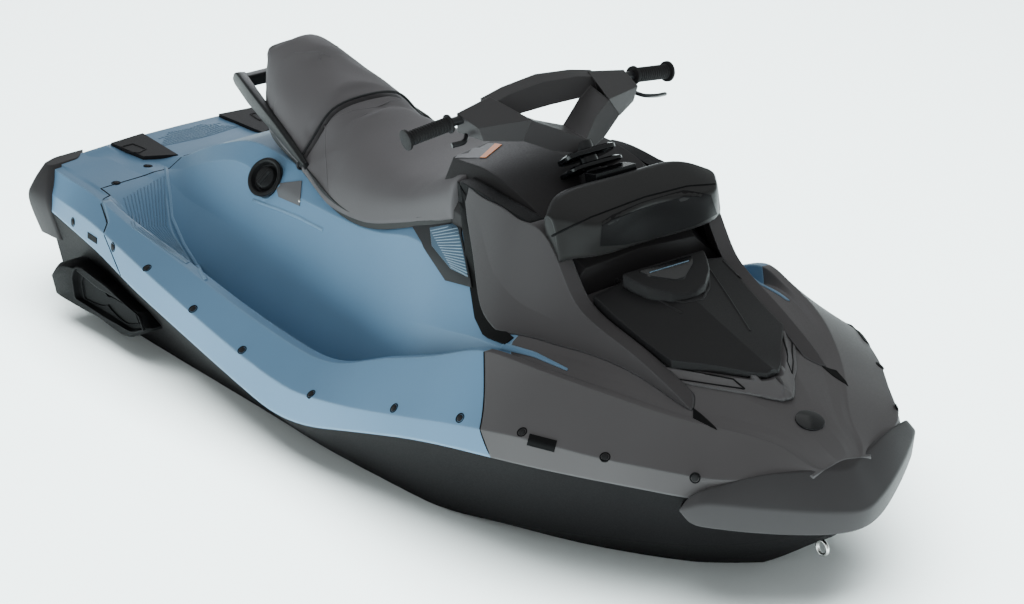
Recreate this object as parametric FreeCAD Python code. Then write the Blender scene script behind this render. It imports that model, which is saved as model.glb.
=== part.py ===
import FreeCAD, Part
import math
import os

os.makedirs("parts", exist_ok=True)
Vector = FreeCAD.Vector

# Personal watercraft for two. +X runs to the bow, +Y to port, +Z up.
# The origin lies at the waterline, amidships, on the centreline.

# Overall size
LENGTH = 2790.0
HALF_BEAM = 585.0
HEIGHT = 1125.0
DRAFT = 155.0
MIDSHIPS_SHARE = 0.5
OVERRUN = 20.0
REACH_SHARE = 2.0
MOVING_GAP = 6.0
FULL_TURN = 360.0

# Shell lines: each point is a share of the length from the stern, of the half beam from the
# centreline, and of the height from the keel
SHELL_STATION_SHARES = [
    0.012, 0.036, 0.072, 0.108, 0.124, 0.158, 0.194, 0.229, 0.287, 0.36, 0.43, 0.466, 0.5, 0.525,
    0.573, 0.622, 0.663, 0.703, 0.738, 0.789, 0.824, 0.853, 0.885, 0.918, 0.946, 0.972,
]
HULL_START_SHARE = 0.036
KEEL_SHARES = [
    (0.036, 0.000, 0.000), (0.645, 0.000, 0.000), (0.681, 0.000, 0.001), (0.753, 0.000, 0.012),
    (0.801, 0.000, 0.044), (0.842, 0.000, 0.087), (0.877, 0.000, 0.132), (0.925, 0.000, 0.211),
    (0.972, 0.000, 0.295),
]
STRAKE_SHARES = [
    (0.036, 0.350, 0.066), (0.645, 0.346, 0.066), (0.681, 0.340, 0.067), (0.753, 0.308, 0.078),
    (0.801, 0.265, 0.105), (0.842, 0.214, 0.135), (0.877, 0.171, 0.167), (0.925, 0.103, 0.229),
    (0.972, 0.027, 0.299),
]
CHINE_SHARES = [
    (0.036, 0.692, 0.133), (0.183, 0.718, 0.133), (0.384, 0.726, 0.131), (0.495, 0.726, 0.127),
    (0.609, 0.718, 0.135), (0.659, 0.701, 0.147), (0.738, 0.632, 0.178), (0.801, 0.530, 0.201),
    (0.877, 0.368, 0.229), (0.925, 0.239, 0.261), (0.972, 0.068, 0.309),
]
BOND_SHARES = [
    (0.000, 0.752, 0.360), (0.036, 0.795, 0.363), (0.161, 0.889, 0.355), (0.232, 0.940, 0.338),
    (0.353, 0.974, 0.294), (0.430, 0.988, 0.265), (0.468, 0.991, 0.254), (0.514, 0.991, 0.262),
    (0.573, 0.988, 0.300), (0.657, 0.978, 0.358), (0.717, 0.950, 0.387), (0.767, 0.913, 0.402),
    (0.810, 0.841, 0.407), (0.846, 0.752, 0.406), (0.896, 0.607, 0.402), (0.928, 0.504, 0.400),
    (0.953, 0.350, 0.398), (0.972, 0.162, 0.396),
]
CREASE_SHARES = [
    (0.000, 0.738, 0.391), (0.036, 0.778, 0.398), (0.143, 0.863, 0.411), (0.251, 0.932, 0.393),
    (0.355, 0.961, 0.357), (0.435, 0.974, 0.332), (0.484, 0.974, 0.322), (0.514, 0.973, 0.327),
    (0.573, 0.968, 0.352), (0.675, 0.950, 0.411), (0.717, 0.926, 0.434), (0.758, 0.896, 0.450),
    (0.792, 0.858, 0.460), (0.856, 0.711, 0.452), (0.896, 0.581, 0.445), (0.928, 0.479, 0.442),
    (0.953, 0.325, 0.440), (0.972, 0.145, 0.439),
]
TOP_SHARES = [
    (0.000, 0.701, 0.441), (0.036, 0.726, 0.444), (0.108, 0.752, 0.444), (0.174, 0.790, 0.434),
    (0.272, 0.817, 0.418), (0.360, 0.834, 0.396), (0.421, 0.838, 0.382), (0.487, 0.831, 0.373),
    (0.525, 0.817, 0.388), (0.573, 0.795, 0.436), (0.622, 0.778, 0.480), (0.663, 0.761, 0.521),
    (0.703, 0.735, 0.558), (0.738, 0.692, 0.558), (0.789, 0.619, 0.548), (0.824, 0.550, 0.537),
    (0.873, 0.419, 0.514), (0.918, 0.256, 0.494), (0.946, 0.171, 0.474), (0.972, 0.096, 0.444),
]
FLOOR_OUT_SHARES = [
    (0.000, 0.658, 0.446), (0.108, 0.692, 0.446), (0.124, 0.687, 0.437), (0.174, 0.694, 0.382),
    (0.233, 0.709, 0.324), (0.287, 0.726, 0.307), (0.360, 0.735, 0.290), (0.466, 0.735, 0.280),
    (0.525, 0.728, 0.293), (0.573, 0.715, 0.333), (0.622, 0.701, 0.391), (0.663, 0.692, 0.452),
    (0.703, 0.675, 0.516), (0.738, 0.636, 0.544), (0.789, 0.564, 0.544), (0.824, 0.496, 0.535),
    (0.873, 0.368, 0.513), (0.918, 0.214, 0.498), (0.946, 0.137, 0.477), (0.972, 0.075, 0.446),
]
FLOOR_IN_SHARES = [
    (0.000, 0.513, 0.453), (0.108, 0.458, 0.450), (0.124, 0.448, 0.439), (0.158, 0.513, 0.382),
    (0.229, 0.590, 0.331), (0.287, 0.590, 0.311), (0.360, 0.581, 0.294), (0.466, 0.590, 0.286),
    (0.525, 0.615, 0.300), (0.573, 0.636, 0.342), (0.622, 0.646, 0.402), (0.663, 0.650, 0.467),
    (0.703, 0.643, 0.526), (0.738, 0.590, 0.551), (0.789, 0.506, 0.549), (0.824, 0.438, 0.540),
    (0.873, 0.316, 0.517), (0.918, 0.174, 0.501), (0.946, 0.109, 0.480), (0.972, 0.058, 0.448),
]
FLANK_LOW_SHARES = [
    (0.000, 0.410, 0.456), (0.108, 0.410, 0.453), (0.124, 0.407, 0.446), (0.158, 0.424, 0.436),
    (0.229, 0.465, 0.444), (0.287, 0.475, 0.444), (0.360, 0.479, 0.440), (0.466, 0.509, 0.436),
    (0.525, 0.544, 0.458), (0.573, 0.590, 0.491), (0.622, 0.612, 0.516), (0.663, 0.626, 0.537),
    (0.703, 0.626, 0.549), (0.738, 0.550, 0.558), (0.789, 0.462, 0.555), (0.824, 0.393, 0.546),
    (0.873, 0.274, 0.523), (0.918, 0.144, 0.505), (0.946, 0.089, 0.483), (0.972, 0.044, 0.449),
]
FLANK_UP_SHARES = [
    (0.000, 0.325, 0.458), (0.108, 0.333, 0.457), (0.124, 0.335, 0.471), (0.158, 0.350, 0.511),
    (0.229, 0.373, 0.573), (0.287, 0.397, 0.573), (0.360, 0.410, 0.573), (0.418, 0.417, 0.576),
    (0.466, 0.427, 0.591), (0.525, 0.455, 0.628), (0.573, 0.492, 0.624), (0.622, 0.513, 0.613),
    (0.663, 0.520, 0.604), (0.703, 0.506, 0.590), (0.738, 0.462, 0.578), (0.789, 0.393, 0.567),
    (0.824, 0.335, 0.555), (0.873, 0.226, 0.530), (0.918, 0.113, 0.508), (0.946, 0.068, 0.485),
    (0.972, 0.031, 0.450),
]
LEDGE_SHARES = [
    (0.000, 0.205, 0.459), (0.086, 0.256, 0.460), (0.108, 0.263, 0.484), (0.138, 0.274, 0.523),
    (0.172, 0.284, 0.562), (0.230, 0.294, 0.613), (0.287, 0.311, 0.620), (0.360, 0.328, 0.612),
    (0.418, 0.342, 0.612), (0.466, 0.352, 0.624), (0.525, 0.369, 0.663), (0.573, 0.397, 0.679),
    (0.622, 0.414, 0.679), (0.663, 0.407, 0.670), (0.703, 0.386, 0.640), (0.738, 0.342, 0.612),
    (0.789, 0.287, 0.590), (0.824, 0.243, 0.569), (0.873, 0.164, 0.539), (0.918, 0.079, 0.510),
    (0.946, 0.044, 0.487), (0.972, 0.015, 0.451),
]
CROWN_SHARES = [
    (0.000, 0.000, 0.460), (0.086, 0.000, 0.461), (0.108, 0.000, 0.486), (0.138, 0.000, 0.524),
    (0.172, 0.000, 0.564), (0.230, 0.000, 0.615), (0.287, 0.000, 0.624), (0.360, 0.000, 0.615),
    (0.418, 0.000, 0.615), (0.466, 0.000, 0.628), (0.525, 0.000, 0.667), (0.573, 0.000, 0.684),
    (0.622, 0.000, 0.686), (0.663, 0.000, 0.676), (0.703, 0.000, 0.650), (0.738, 0.000, 0.622),
    (0.789, 0.000, 0.597), (0.824, 0.000, 0.574), (0.873, 0.000, 0.542), (0.918, 0.000, 0.513),
    (0.946, 0.000, 0.489), (0.972, 0.000, 0.452),
]
INNER_SHARES = [
    (0.000, 0.000, 0.356), (0.036, 0.000, 0.293), (0.108, 0.000, 0.271), (0.229, 0.000, 0.244),
    (0.353, 0.000, 0.222), (0.468, 0.000, 0.213), (0.573, 0.000, 0.231), (0.657, 0.000, 0.307),
    (0.717, 0.000, 0.342), (0.778, 0.000, 0.360), (0.846, 0.000, 0.366), (0.928, 0.000, 0.366),
    (0.953, 0.000, 0.368), (0.972, 0.000, 0.378),
]
TOP_INSET_SHARE = 0.95
FLANGE_INSET_SHARE = 0.94
INNER_INSET_SHARE = 0.86
FIT_SINK_SHARE = 0.005
BED_GAP_SHARE = 0.0014
BOND_GAP_SHARE = 0.0003

# Parting lines of the three deck mouldings, as shares of length and height in side view
REAR_SPLIT_SHARES = [(0.217, 0.0), (0.215, 0.336), (0.156, 0.422), (0.110, 0.450), (0.104, 2.0)]
FRONT_SPLIT_SHARES = [(0.763, 0.0), (0.763, 0.4), (0.704, 0.56), (0.692, 2.0)]
REAR_STEP_SHARE = 0.1
FOOTWELL_HALF_SHARE = 0.695

# Stern: corner bumpers, pads, lifting tow eye
CORNER_LEVEL_SHARES = [
    (0.292, [(0.012, 0.50), (0.008, 0.70), (0.020, 0.795), (0.054, 0.785), (0.054, 0.60)]),
    (0.372, [(0.002, 0.50), (0.000, 0.72), (0.010, 0.826), (0.046, 0.815), (0.046, 0.60)]),
    (0.412, [(0.002, 0.50), (0.002, 0.70), (0.011, 0.800), (0.038, 0.795), (0.038, 0.60)]),
    (0.458, [(0.004, 0.50), (0.006, 0.65), (0.014, 0.735), (0.020, 0.725), (0.016, 0.57)]),
]
PAD_PLAN_SHARES = [(0.0135, 0.21), (0.018, 0.395), (0.068, 0.372), (0.084, 0.235)]
PAD_THICKNESS = 10.0
PAD_SINK = 4.0
TOW_EYE_RADIUS = 22.0
TOW_EYE_ROD = 5.0
TOW_EYE_SHARE = (0.022, 0.329)

# Side floats on the hull, low at the stern
FLOAT_SIDE_SHARES = [(0.064, 0.242), (0.082, 0.250), (0.207, 0.277), (0.229, 0.250),
                     (0.224, 0.196), (0.194, 0.172), (0.070, 0.180)]
FLOAT_PANEL_SHARES = [(0.105, 0.240), (0.203, 0.258), (0.216, 0.232), (0.192, 0.196), (0.112, 0.204)]
FLOAT_INNER_SHARE = 0.66
FLOAT_OUTER_SHARE = 0.925
FLOAT_DRAW = 14.0
FLOAT_PANEL_DEPTH = 9.0

# Jet drive, measured from the stern and up from the keel
JET_CENTRE_HEIGHT = 130.0
TUNNEL_FRONT = 560.0
TUNNEL_HALF_WIDTH = 128.0
TUNNEL_ROOF = 290.0
INTAKE_FRONT = 980.0
INTAKE_HALF_WIDTH = 90.0
INTAKE_ROOF = 215.0
RIDE_PLATE_THICKNESS = 10.0
RIDE_PLATE_UNDERSIDE = 22.0
PUMP_FRONT = 545.0
PUMP_REAR = 330.0
PUMP_RADIUS = 86.0
PUMP_WALL = 9.0
VENTURI_REAR = 187.0
VENTURI_RADIUS = 46.0
VENTURI_WALL = 5.0
VANE_COUNT = 5
VANE_THICKNESS = 5.0
IMPELLER_FRONT = 460.0
IMPELLER_REAR = 380.0
IMPELLER_TIP_GAP = 0.8
IMPELLER_HUB_RADIUS = 26.0
IMPELLER_BLADES = 4
BLADE_THICKNESS = 5.0
BLADE_TWIST_DEGREES = 62.0
BLADE_STEPS = 4
BLADE_CORNER_GAP = 0.6
SHAFT_RADIUS = 12.0
SHAFT_FRONT = 900.0
SHAFT_GAP = 0.3
PIVOT_FROM_STERN = 150.0
TRIM_RING_RADIUS = 64.0
TRIM_RING_WALL = 8.0
TRIM_RING_WIDTH = 24.0
NOZZLE_FRONT = 170.0
NOZZLE_REAR = 66.0
NOZZLE_RADIUS = 51.0
NOZZLE_TAIL_RADIUS = 38.0
NOZZLE_WALL = 5.0
PIN_RADIUS = 7.0
PIN_GAP = 0.3
BRACKET_INSIDE = 79.0
BRACKET_THICKNESS = 8.0
BRACKET_HEIGHT = 70.0
BRACKET_TAIL = 17.5
GATE_PIVOT_FROM_STERN = 172.0
GATE_PIVOT_RISE = 14.0
GATE_RADIUS = 126.0
GATE_HUB_RADIUS = 14.0
GATE_WALL = 6.0
GATE_HALF_WIDTH = 100.0
GATE_FROM_DEGREES = 32.0
GATE_TO_DEGREES = 98.0
GATE_ARM_THICKNESS = 6.0
GRATE_BAR_WIDTH = 9.0
GRATE_BAR_HEIGHT = 16.0
GRATE_BARS = 3

# Engine: one plain block in the hull
ENGINE_REAR = 1010.0
ENGINE_LENGTH = 480.0
ENGINE_WIDTH = 380.0
ENGINE_HEIGHT = 330.0
ENGINE_UNDERSIDE = 95.0
ENGINE_GAP = 8.0

# Bow bumper, row by row to the bow: ridge point, its bearing off dead ahead in degrees, then how
# far in the top edge and the lower lip lie, as shares of the depth, each with its height
BUMPER_ROWS = [
    (0.9210, 0.600, 0.389, 48.4, 0.130, 0.406, 0.045, 0.362),
    (0.9400, 0.520, 0.404, 40.6, 0.290, 0.431, 0.080, 0.348),
    (0.9660, 0.350, 0.392, 32.8, 0.490, 0.451, 0.120, 0.333),
    (0.9900, 0.150, 0.377, 24.8, 0.655, 0.445, 0.110, 0.323),
    (1.0000, 0.000, 0.369, 0.0, 0.620, 0.441, 0.155, 0.321),
]
BUMPER_DEPTH = 90.0
BOW_EYE_SHARE = (0.9516, 0.240)
BOW_EYE_RADIUS = 17.0
BOW_EYE_ROD = 4.5

# Seat: x, then lower edge, side and shoulder as half width and height, and crown height
SEAT_SHARES = [
    (0.213, 0.145, 0.791, 0.137, 0.800, 0.094, 0.811, 0.821),
    (0.229, 0.209, 0.729, 0.202, 0.757, 0.106, 0.802, 0.832),
    (0.251, 0.265, 0.670, 0.222, 0.743, 0.120, 0.789, 0.825),
    (0.287, 0.306, 0.650, 0.256, 0.722, 0.150, 0.766, 0.789),
    (0.324, 0.342, 0.640, 0.274, 0.686, 0.171, 0.743, 0.757),
    (0.358, 0.385, 0.628, 0.316, 0.655, 0.188, 0.708, 0.731),
    (0.394, 0.419, 0.614, 0.367, 0.653, 0.222, 0.698, 0.716),
    (0.448, 0.431, 0.611, 0.390, 0.658, 0.256, 0.695, 0.711),
    (0.502, 0.419, 0.650, 0.385, 0.680, 0.256, 0.716, 0.733),
    (0.545, 0.402, 0.689, 0.368, 0.716, 0.248, 0.748, 0.769),
    (0.566, 0.376, 0.711, 0.342, 0.736, 0.231, 0.766, 0.787),
]
SEAT_SEAM_SHARE = 0.324
SEAT_BASE_DEPTH = 24.0
SEAM_GAP = 0.4

# Grab handle behind the seat: two arms that lean in and back, and a bar between them
HANDLE_FOOT_SHARE = (0.355, 0.420, 0.604)
HANDLE_TAB_SHARE = (0.349, 0.410, 0.584)
HANDLE_TAB_REACH_SHARE = 0.33
HANDLE_TOP_SHARE = (0.179, 0.215, 0.738)
HANDLE_BAR_SHARE = 0.12
HANDLE_HEIGHT = 40.0
HANDLE_WIDTH = 24.0
HANDLE_BAR_HEIGHT = 26.0

# Fuel cap on the starboard flank
CAP_CENTRE_SHARE = (0.286, 0.405, 0.580)
CAP_NORMAL_SHARES = (0.18, -0.80, 0.57)
CAP_RADIUS = 48.0
CAP_RING_WIDTH = 11.0
CAP_STAND = 9.0
CAP_SINK = 34.0
CAP_KNOB_RADIUS = 27.0
CAP_KNOB_STAND = 16.0

# Console: x, then foot, side and shoulder as half width and height, and crown height
CONSOLE_SHARES = [
    (0.536, 0.345, 0.660, 0.360, 0.720, 0.280, 0.800, 0.820),
    (0.573, 0.395, 0.630, 0.385, 0.711, 0.300, 0.811, 0.831),
    (0.600, 0.430, 0.600, 0.385, 0.706, 0.308, 0.812, 0.830),
    (0.624, 0.460, 0.580, 0.390, 0.702, 0.312, 0.802, 0.822),
    (0.663, 0.500, 0.540, 0.400, 0.684, 0.310, 0.770, 0.789),
    (0.690, 0.500, 0.530, 0.400, 0.665, 0.300, 0.730, 0.745),
    (0.717, 0.490, 0.520, 0.400, 0.630, 0.280, 0.690, 0.700),
]

# Wings beside the console: x, then outer top, crease and lower edge as half width and height
WING_SHARES = [
    (0.588, 0.400, 0.784, 0.404, 0.775, 0.408, 0.766),
    (0.604, 0.412, 0.787, 0.425, 0.750, 0.445, 0.700),
    (0.629, 0.418, 0.784, 0.460, 0.700, 0.505, 0.628),
    (0.652, 0.420, 0.780, 0.500, 0.660, 0.560, 0.585),
    (0.676, 0.420, 0.777, 0.520, 0.640, 0.590, 0.568),
    (0.697, 0.420, 0.770, 0.515, 0.625, 0.590, 0.556),
    (0.715, 0.418, 0.727, 0.495, 0.618, 0.570, 0.546),
    (0.731, 0.415, 0.670, 0.475, 0.608, 0.548, 0.540),
    (0.765, 0.402, 0.618, 0.440, 0.585, 0.495, 0.528),
    (0.805, 0.380, 0.588, 0.402, 0.562, 0.440, 0.518),
    (0.845, 0.360, 0.550, 0.372, 0.532, 0.392, 0.508),
    (0.873, 0.342, 0.512, 0.350, 0.508, 0.358, 0.502),
]
WING_THICKNESS = 42.0
SURROUND_SHARES = [
    (0.577, 0.392, 0.790, 0.396, 0.778, 0.400, 0.766),
    (0.592, 0.404, 0.792, 0.417, 0.745, 0.435, 0.690),
    (0.616, 0.410, 0.790, 0.450, 0.690, 0.493, 0.612),
    (0.640, 0.412, 0.785, 0.490, 0.650, 0.548, 0.566),
    (0.668, 0.412, 0.780, 0.508, 0.630, 0.572, 0.548),
    (0.697, 0.412, 0.770, 0.503, 0.618, 0.573, 0.540),
]

# Storage lid on the foredeck: x, edge half width and height, crown height
LID_SHARES = [
    (0.7405, 0.340, 0.655, 0.684), (0.775, 0.358, 0.620, 0.655), (0.808, 0.357, 0.592, 0.628),
    (0.838, 0.250, 0.583, 0.606), (0.866, 0.125, 0.575, 0.586), (0.886, 0.030, 0.569, 0.574),
]
LID_SKIRT = 34.0
LID_HINGE_SHARE = (0.7352, 0.640)
LID_LUG_RADIUS = 9.0
LID_PIN_RADIUS = 4.0
LID_LUG_INSIDE = 80.0
LID_LUG_LENGTH = 30.0
LID_EAR_THICKNESS = 8.0
LID_WEB_REACH = 36.0
LID_EAR_REACH = 54.0
BIN_REAR_SHARE = 0.765
BIN_FRONT_SHARE = 0.835
BIN_HALF_WIDTH = 92.0
BIN_FLOOR_SHARE = 0.45

# Grey frame round the lid's nose, from the wing to the tip: outer and inner edge
FRAME_OUTER_SHARES = [(0.8308, 0.335, 0.5387), (0.8692, 0.191, 0.5333), (0.9097, 0.000, 0.5262)]
FRAME_INNER_SHARES = [(0.8229, 0.3145, 0.5653), (0.8616, 0.161, 0.5636), (0.8903, 0.000, 0.5618)]
FRAME_DROP = 45.0

# Pod in front of the bars: x and height of its outline at the centre, the shoulder and the end
POD_CENTRE_SHARES = [(0.692, 0.711), (0.6855, 0.773), (0.683, 0.836), (0.692, 0.844),
                     (0.727, 0.814), (0.7155, 0.772), (0.7275, 0.722), (0.702, 0.708)]
POD_SHOULDER_SHARES = [(0.692, 0.716), (0.6855, 0.773), (0.681, 0.831), (0.690, 0.838),
                       (0.7375, 0.805), (0.735, 0.772), (0.733, 0.729), (0.702, 0.714)]
POD_END_SHARES = [(0.707, 0.716), (0.702, 0.747), (0.695, 0.800), (0.699, 0.816),
                  (0.709, 0.811), (0.714, 0.787), (0.719, 0.734), (0.716, 0.714)]
POD_SHOULDER_SHARE = 0.28
POD_END_SHARE = 0.405
POD_PARTING_SHARES = [(0.5, 0.752), (0.24, 0.800), (0.0, 0.808)]
BEZEL_PLAN_SHARES = [(0.742, 0.185), (0.757, 0.165), (0.7815, 0.0)]
BEZEL_HEIGHT_SHARES = (0.640, 0.6995, 0.662)

# Side grilles below the front of the seat, as points on the flank
GRILLE_SHARES = [
    (0.508, 0.632), (0.560, 0.678), (0.598, 0.668), (0.612, 0.600), (0.604, 0.560), (0.575, 0.570),
]
GRILLE_THICKNESS = 6.0
GRILLE_INSIDE_SHARE = 0.34

# Gauge behind the pod
GAUGE_SHARE = (0.6755, 0.845)
GAUGE_WIDTH = 118.0
GAUGE_LENGTH = 44.0
GAUGE_HEIGHT = 110.0
GAUGE_TILT_DEGREES = 12.0

# Steering: the column leans back
COLUMN_SHARE = (0.6566, 0.806)
COLUMN_TILT_DEGREES = 35.0
COLUMN_RADIUS = 22.0
COLUMN_LENGTH = 92.0
COLLAR_RADIUS = 36.0
COLLAR_HEIGHT = 20.0
COLLAR_DEPTH = 40.0
COLLAR_GAP = 1.0
YOKE_WIDTH = 92.0
YOKE_LENGTH = 72.0
YOKE_HEIGHT = 34.0
BAR_END_SHARE = (0.580, 0.667, 0.916)
BAR_BEND_SHARE = (0.5855, 0.385, 0.938)
BAR_FOOT_SHARE = (0.632, 0.055, 0.880)
BAR_RADIUS = 11.0
GRIP_RADIUS = 16.5
GRIP_LENGTH = 118.0
GRIP_FLANGE_RADIUS = 23.0
GRIP_FLANGE = 7.0
COVER_ARM_SHARES = [(0.637, 0.06, 0.872), (0.612, 0.235, 0.905), (0.5855, 0.425, 0.944)]
COVER_ARM_HEIGHT = 60.0
COVER_ARM_WIDTH = 82.0
PAD_BAR_SHARES = [(0.585, 0.28, 0.946), (0.5855, 0.0, 0.957)]
PAD_BAR_HEIGHT = 50.0
PAD_BAR_WIDTH = 84.0
LEVER_ROOT_SHARE = (0.598, 0.44, 0.906)
LEVER_BEND_SHARE = (0.603, 0.515, 0.894)
LEVER_TIP_SHARE = (0.597, 0.600, 0.884)
LEVER_THICKNESS = 9.0
LEVER_WIDTH = 13.0


def spot(x_share, y_share, z_share, side=1):
    """A point from shares of the length, half beam and height."""
    return Vector((x_share - MIDSHIPS_SHARE) * LENGTH, side * y_share * HALF_BEAM, z_share * HEIGHT - DRAFT)


def place(from_stern, across, above_keel):
    """A point from real lengths off the stern, centreline and keel."""
    return Vector(from_stern - MIDSHIPS_SHARE * LENGTH, across, above_keel - DRAFT)


def mirrored(shape):
    """The same shape on the other side of the centreline."""
    return shape.mirror(Vector(0, 0, 0), Vector(0, 1, 0))


def slope_at(line, index, column):
    """Slope of a line's column against its first column at one point."""
    low = max(index - 1, 0)
    high = min(index + 1, len(line) - 1)
    return (line[high][column] - line[low][column]) / (line[high][0] - line[low][0])


def read_line(line, x_share, column):
    """A smooth curve through a line's points, read at one station."""
    if x_share <= line[0][0]:
        return line[0][column]
    if x_share >= line[-1][0]:
        return line[-1][column]
    index = 0
    while line[index + 1][0] < x_share:
        index += 1
    run = line[index + 1][0] - line[index][0]
    t = (x_share - line[index][0]) / run
    start, end = line[index][column], line[index + 1][column]
    start_slope = slope_at(line, index, column) * run
    end_slope = slope_at(line, index + 1, column) * run
    cubic = 2 * start - 2 * end + start_slope + end_slope
    square = 3 * end - 3 * start - 2 * start_slope - end_slope
    return ((cubic * t + square) * t + start_slope) * t + start


def polygon(points):
    """Closed wire through points."""
    return Part.makePolygon(list(points) + [points[0]])


def loft(sections, ruled=False):
    """Solid through closed sections."""
    return Part.makeLoft([polygon(points) for points in sections], True, ruled)


def both_sides(half):
    """A half section from keel or foot to crown, closed over the other side."""
    port = [spot(x, y, z) for x, y, z in half]
    starboard = [spot(x, y, z, -1) for x, y, z in reversed(half) if y > 0]
    return port + starboard


def prism(points, direction):
    """Flat polygon pushed along a direction."""
    return Part.Face(polygon(points)).extrude(direction)


def side_prism(outline):
    """Prism of a side view outline, right across the craft."""
    width = HALF_BEAM + OVERRUN
    points = [spot(x, 0, z) - Vector(0, width, 0) for x, z in outline]
    return prism(points, Vector(0, 2 * width, 0))


def block(x_low, x_high, half_width, z_low, z_high):
    """Box across the centreline, measured from stern and keel."""
    corner = place(x_low, -half_width, z_low)
    return Part.makeBox(x_high - x_low, 2 * half_width, z_high - z_low, corner)


def rod(start, end, radius):
    """Round bar between two points."""
    return Part.makeCylinder(radius, start.distanceToPoint(end), start, end - start)


def cone(start, end, start_radius, end_radius):
    """Tapered round bar between two points."""
    return Part.makeCone(start_radius, end_radius, start.distanceToPoint(end), start, end - start)


def beam(start, end, width, height, upright=Vector(0, 0, 1)):
    """Rectangular bar between two points, its height towards upright."""
    along = (end - start).normalize()
    across = along.cross(upright).normalize()
    rise = across.cross(along).normalize()
    corners = []
    for side, level in ((-1, -1), (1, -1), (1, 1), (-1, 1)):
        corners.append(start + across * (side * width / 2) + rise * (level * height / 2))
    return prism(corners, end - start)


def joined(shapes):
    """Shapes fused to one solid."""
    whole = shapes[0]
    for shape in shapes[1:]:
        whole = whole.fuse(shape)
    return whole.removeSplitter()


def without(shape, others):
    """A shape with its neighbours cut away."""
    for other in others:
        shape = shape.cut(other)
    return shape


def largest(shape):
    """The biggest solid of a cut shape, its slivers left out."""
    return max(shape.Solids, key=lambda solid: solid.Volume)


def save(name, shape):
    """One file for one piece."""
    shape.exportStep("parts/" + name + ".step")


def station_point(line, x_share, inset_share=1.0):
    """Half width and height shares of a shell line at a station."""
    return (x_share, read_line(line, x_share, 1) * inset_share, read_line(line, x_share, 2))


def bond_flange(x_share, sink_share=0.0):
    """Inner edge of the bond flange and the hull's inner floor below it."""
    bond = station_point(BOND_SHARES, x_share)
    floor_height = read_line(INNER_SHARES, x_share, 2) - sink_share
    flange = (x_share, bond[1] * FLANGE_INSET_SHARE, bond[2] - sink_share)
    inner = (x_share, bond[1] * INNER_INSET_SHARE, floor_height)
    return bond, flange, inner


def hull_section(x_share):
    """Keel to bond line, then down inside to the flat inner floor, just clear of the deck."""
    bond, flange, inner = bond_flange(x_share, BED_GAP_SHARE)
    rim = (bond[0], bond[1], bond[2] - BOND_GAP_SHARE)
    lines = [KEEL_SHARES, STRAKE_SHARES, CHINE_SHARES]
    half = [station_point(line, x_share) for line in lines]
    return both_sides(half + [rim, flange, inner])


def deck_section(x_share, sink_share=0.0):
    """Hull's inner floor out to the bond line, and over the band, footwell and pedestal."""
    bond, flange, inner = bond_flange(x_share, sink_share)
    top_in = station_point(TOP_SHARES, x_share, TOP_INSET_SHARE)
    lines = [FLOOR_OUT_SHARES, FLOOR_IN_SHARES, FLANK_LOW_SHARES, FLANK_UP_SHARES, LEDGE_SHARES]
    half = [inner, flange, bond, station_point(CREASE_SHARES, x_share)]
    half += [station_point(TOP_SHARES, x_share), top_in]
    half += [station_point(line, x_share) for line in lines]
    half.append(station_point(CROWN_SHARES, x_share))
    return both_sides(half)


def make_hull_body():
    """The black lower shell, before its openings are cut."""
    stations = [x for x in SHELL_STATION_SHARES if x >= HULL_START_SHARE]
    return loft([hull_section(x) for x in stations])


def make_deck_body(sink_share=0.0):
    """All three deck mouldings as one shape, its underside sunk into the hull if asked."""
    return loft([deck_section(x, sink_share) for x in SHELL_STATION_SHARES])


def split_deck(deck):
    """The deck cut along its two parting lines; the footwells belong to the middle moulding."""
    footwells = block(REAR_STEP_SHARE * LENGTH, MIDSHIPS_SHARE * LENGTH, FOOTWELL_HALF_SHARE * HALF_BEAM,
                      0, HEIGHT)
    rear_side = side_prism([(-REACH_SHARE, 0), *REAR_SPLIT_SHARES, (-REACH_SHARE, REACH_SHARE)])
    rear_side = rear_side.cut(footwells)
    front_side = side_prism([*FRONT_SPLIT_SHARES, (REACH_SHARE, REACH_SHARE), (REACH_SHARE, 0)])
    rear = deck.common(rear_side)
    front = deck.common(front_side)
    middle = deck.cut(rear_side).cut(front_side)
    return rear, middle, front


def engine_space(gap):
    """The engine's block, grown by a gap."""
    side = ENGINE_WIDTH / 2 + gap
    top = ENGINE_UNDERSIDE + ENGINE_HEIGHT + gap
    return block(ENGINE_REAR - gap, ENGINE_REAR + ENGINE_LENGTH + gap, side, ENGINE_UNDERSIDE, top)


def intake_duct():
    """Sloped way from the hull's bottom up to the pump."""
    profile = [
        place(TUNNEL_FRONT - OVERRUN, -INTAKE_HALF_WIDTH, -OVERRUN),
        place(TUNNEL_FRONT - OVERRUN, -INTAKE_HALF_WIDTH, INTAKE_ROOF),
        place(TUNNEL_FRONT + OVERRUN, -INTAKE_HALF_WIDTH, INTAKE_ROOF),
        place(INTAKE_FRONT, -INTAKE_HALF_WIDTH, 0),
        place(INTAKE_FRONT, -INTAKE_HALF_WIDTH, -OVERRUN),
    ]
    return prism(profile, Vector(0, 2 * INTAKE_HALF_WIDTH, 0))


def make_hull(body):
    """Hull with the jet tunnel, intake, shaft bore and engine space."""
    tunnel = block(0, TUNNEL_FRONT, TUNNEL_HALF_WIDTH, -OVERRUN, TUNNEL_ROOF)
    bore = rod(place(TUNNEL_FRONT, 0, JET_CENTRE_HEIGHT), place(SHAFT_FRONT, 0, JET_CENTRE_HEIGHT),
               SHAFT_RADIUS + SHAFT_GAP)
    hull = body.cut(tunnel).cut(intake_duct())
    hull = hull.cut(engine_space(ENGINE_GAP))
    return hull.cut(bore)


def make_engine():
    """One plain block for the engine, standing on the bottom of its bay."""
    return engine_space(0)


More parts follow.
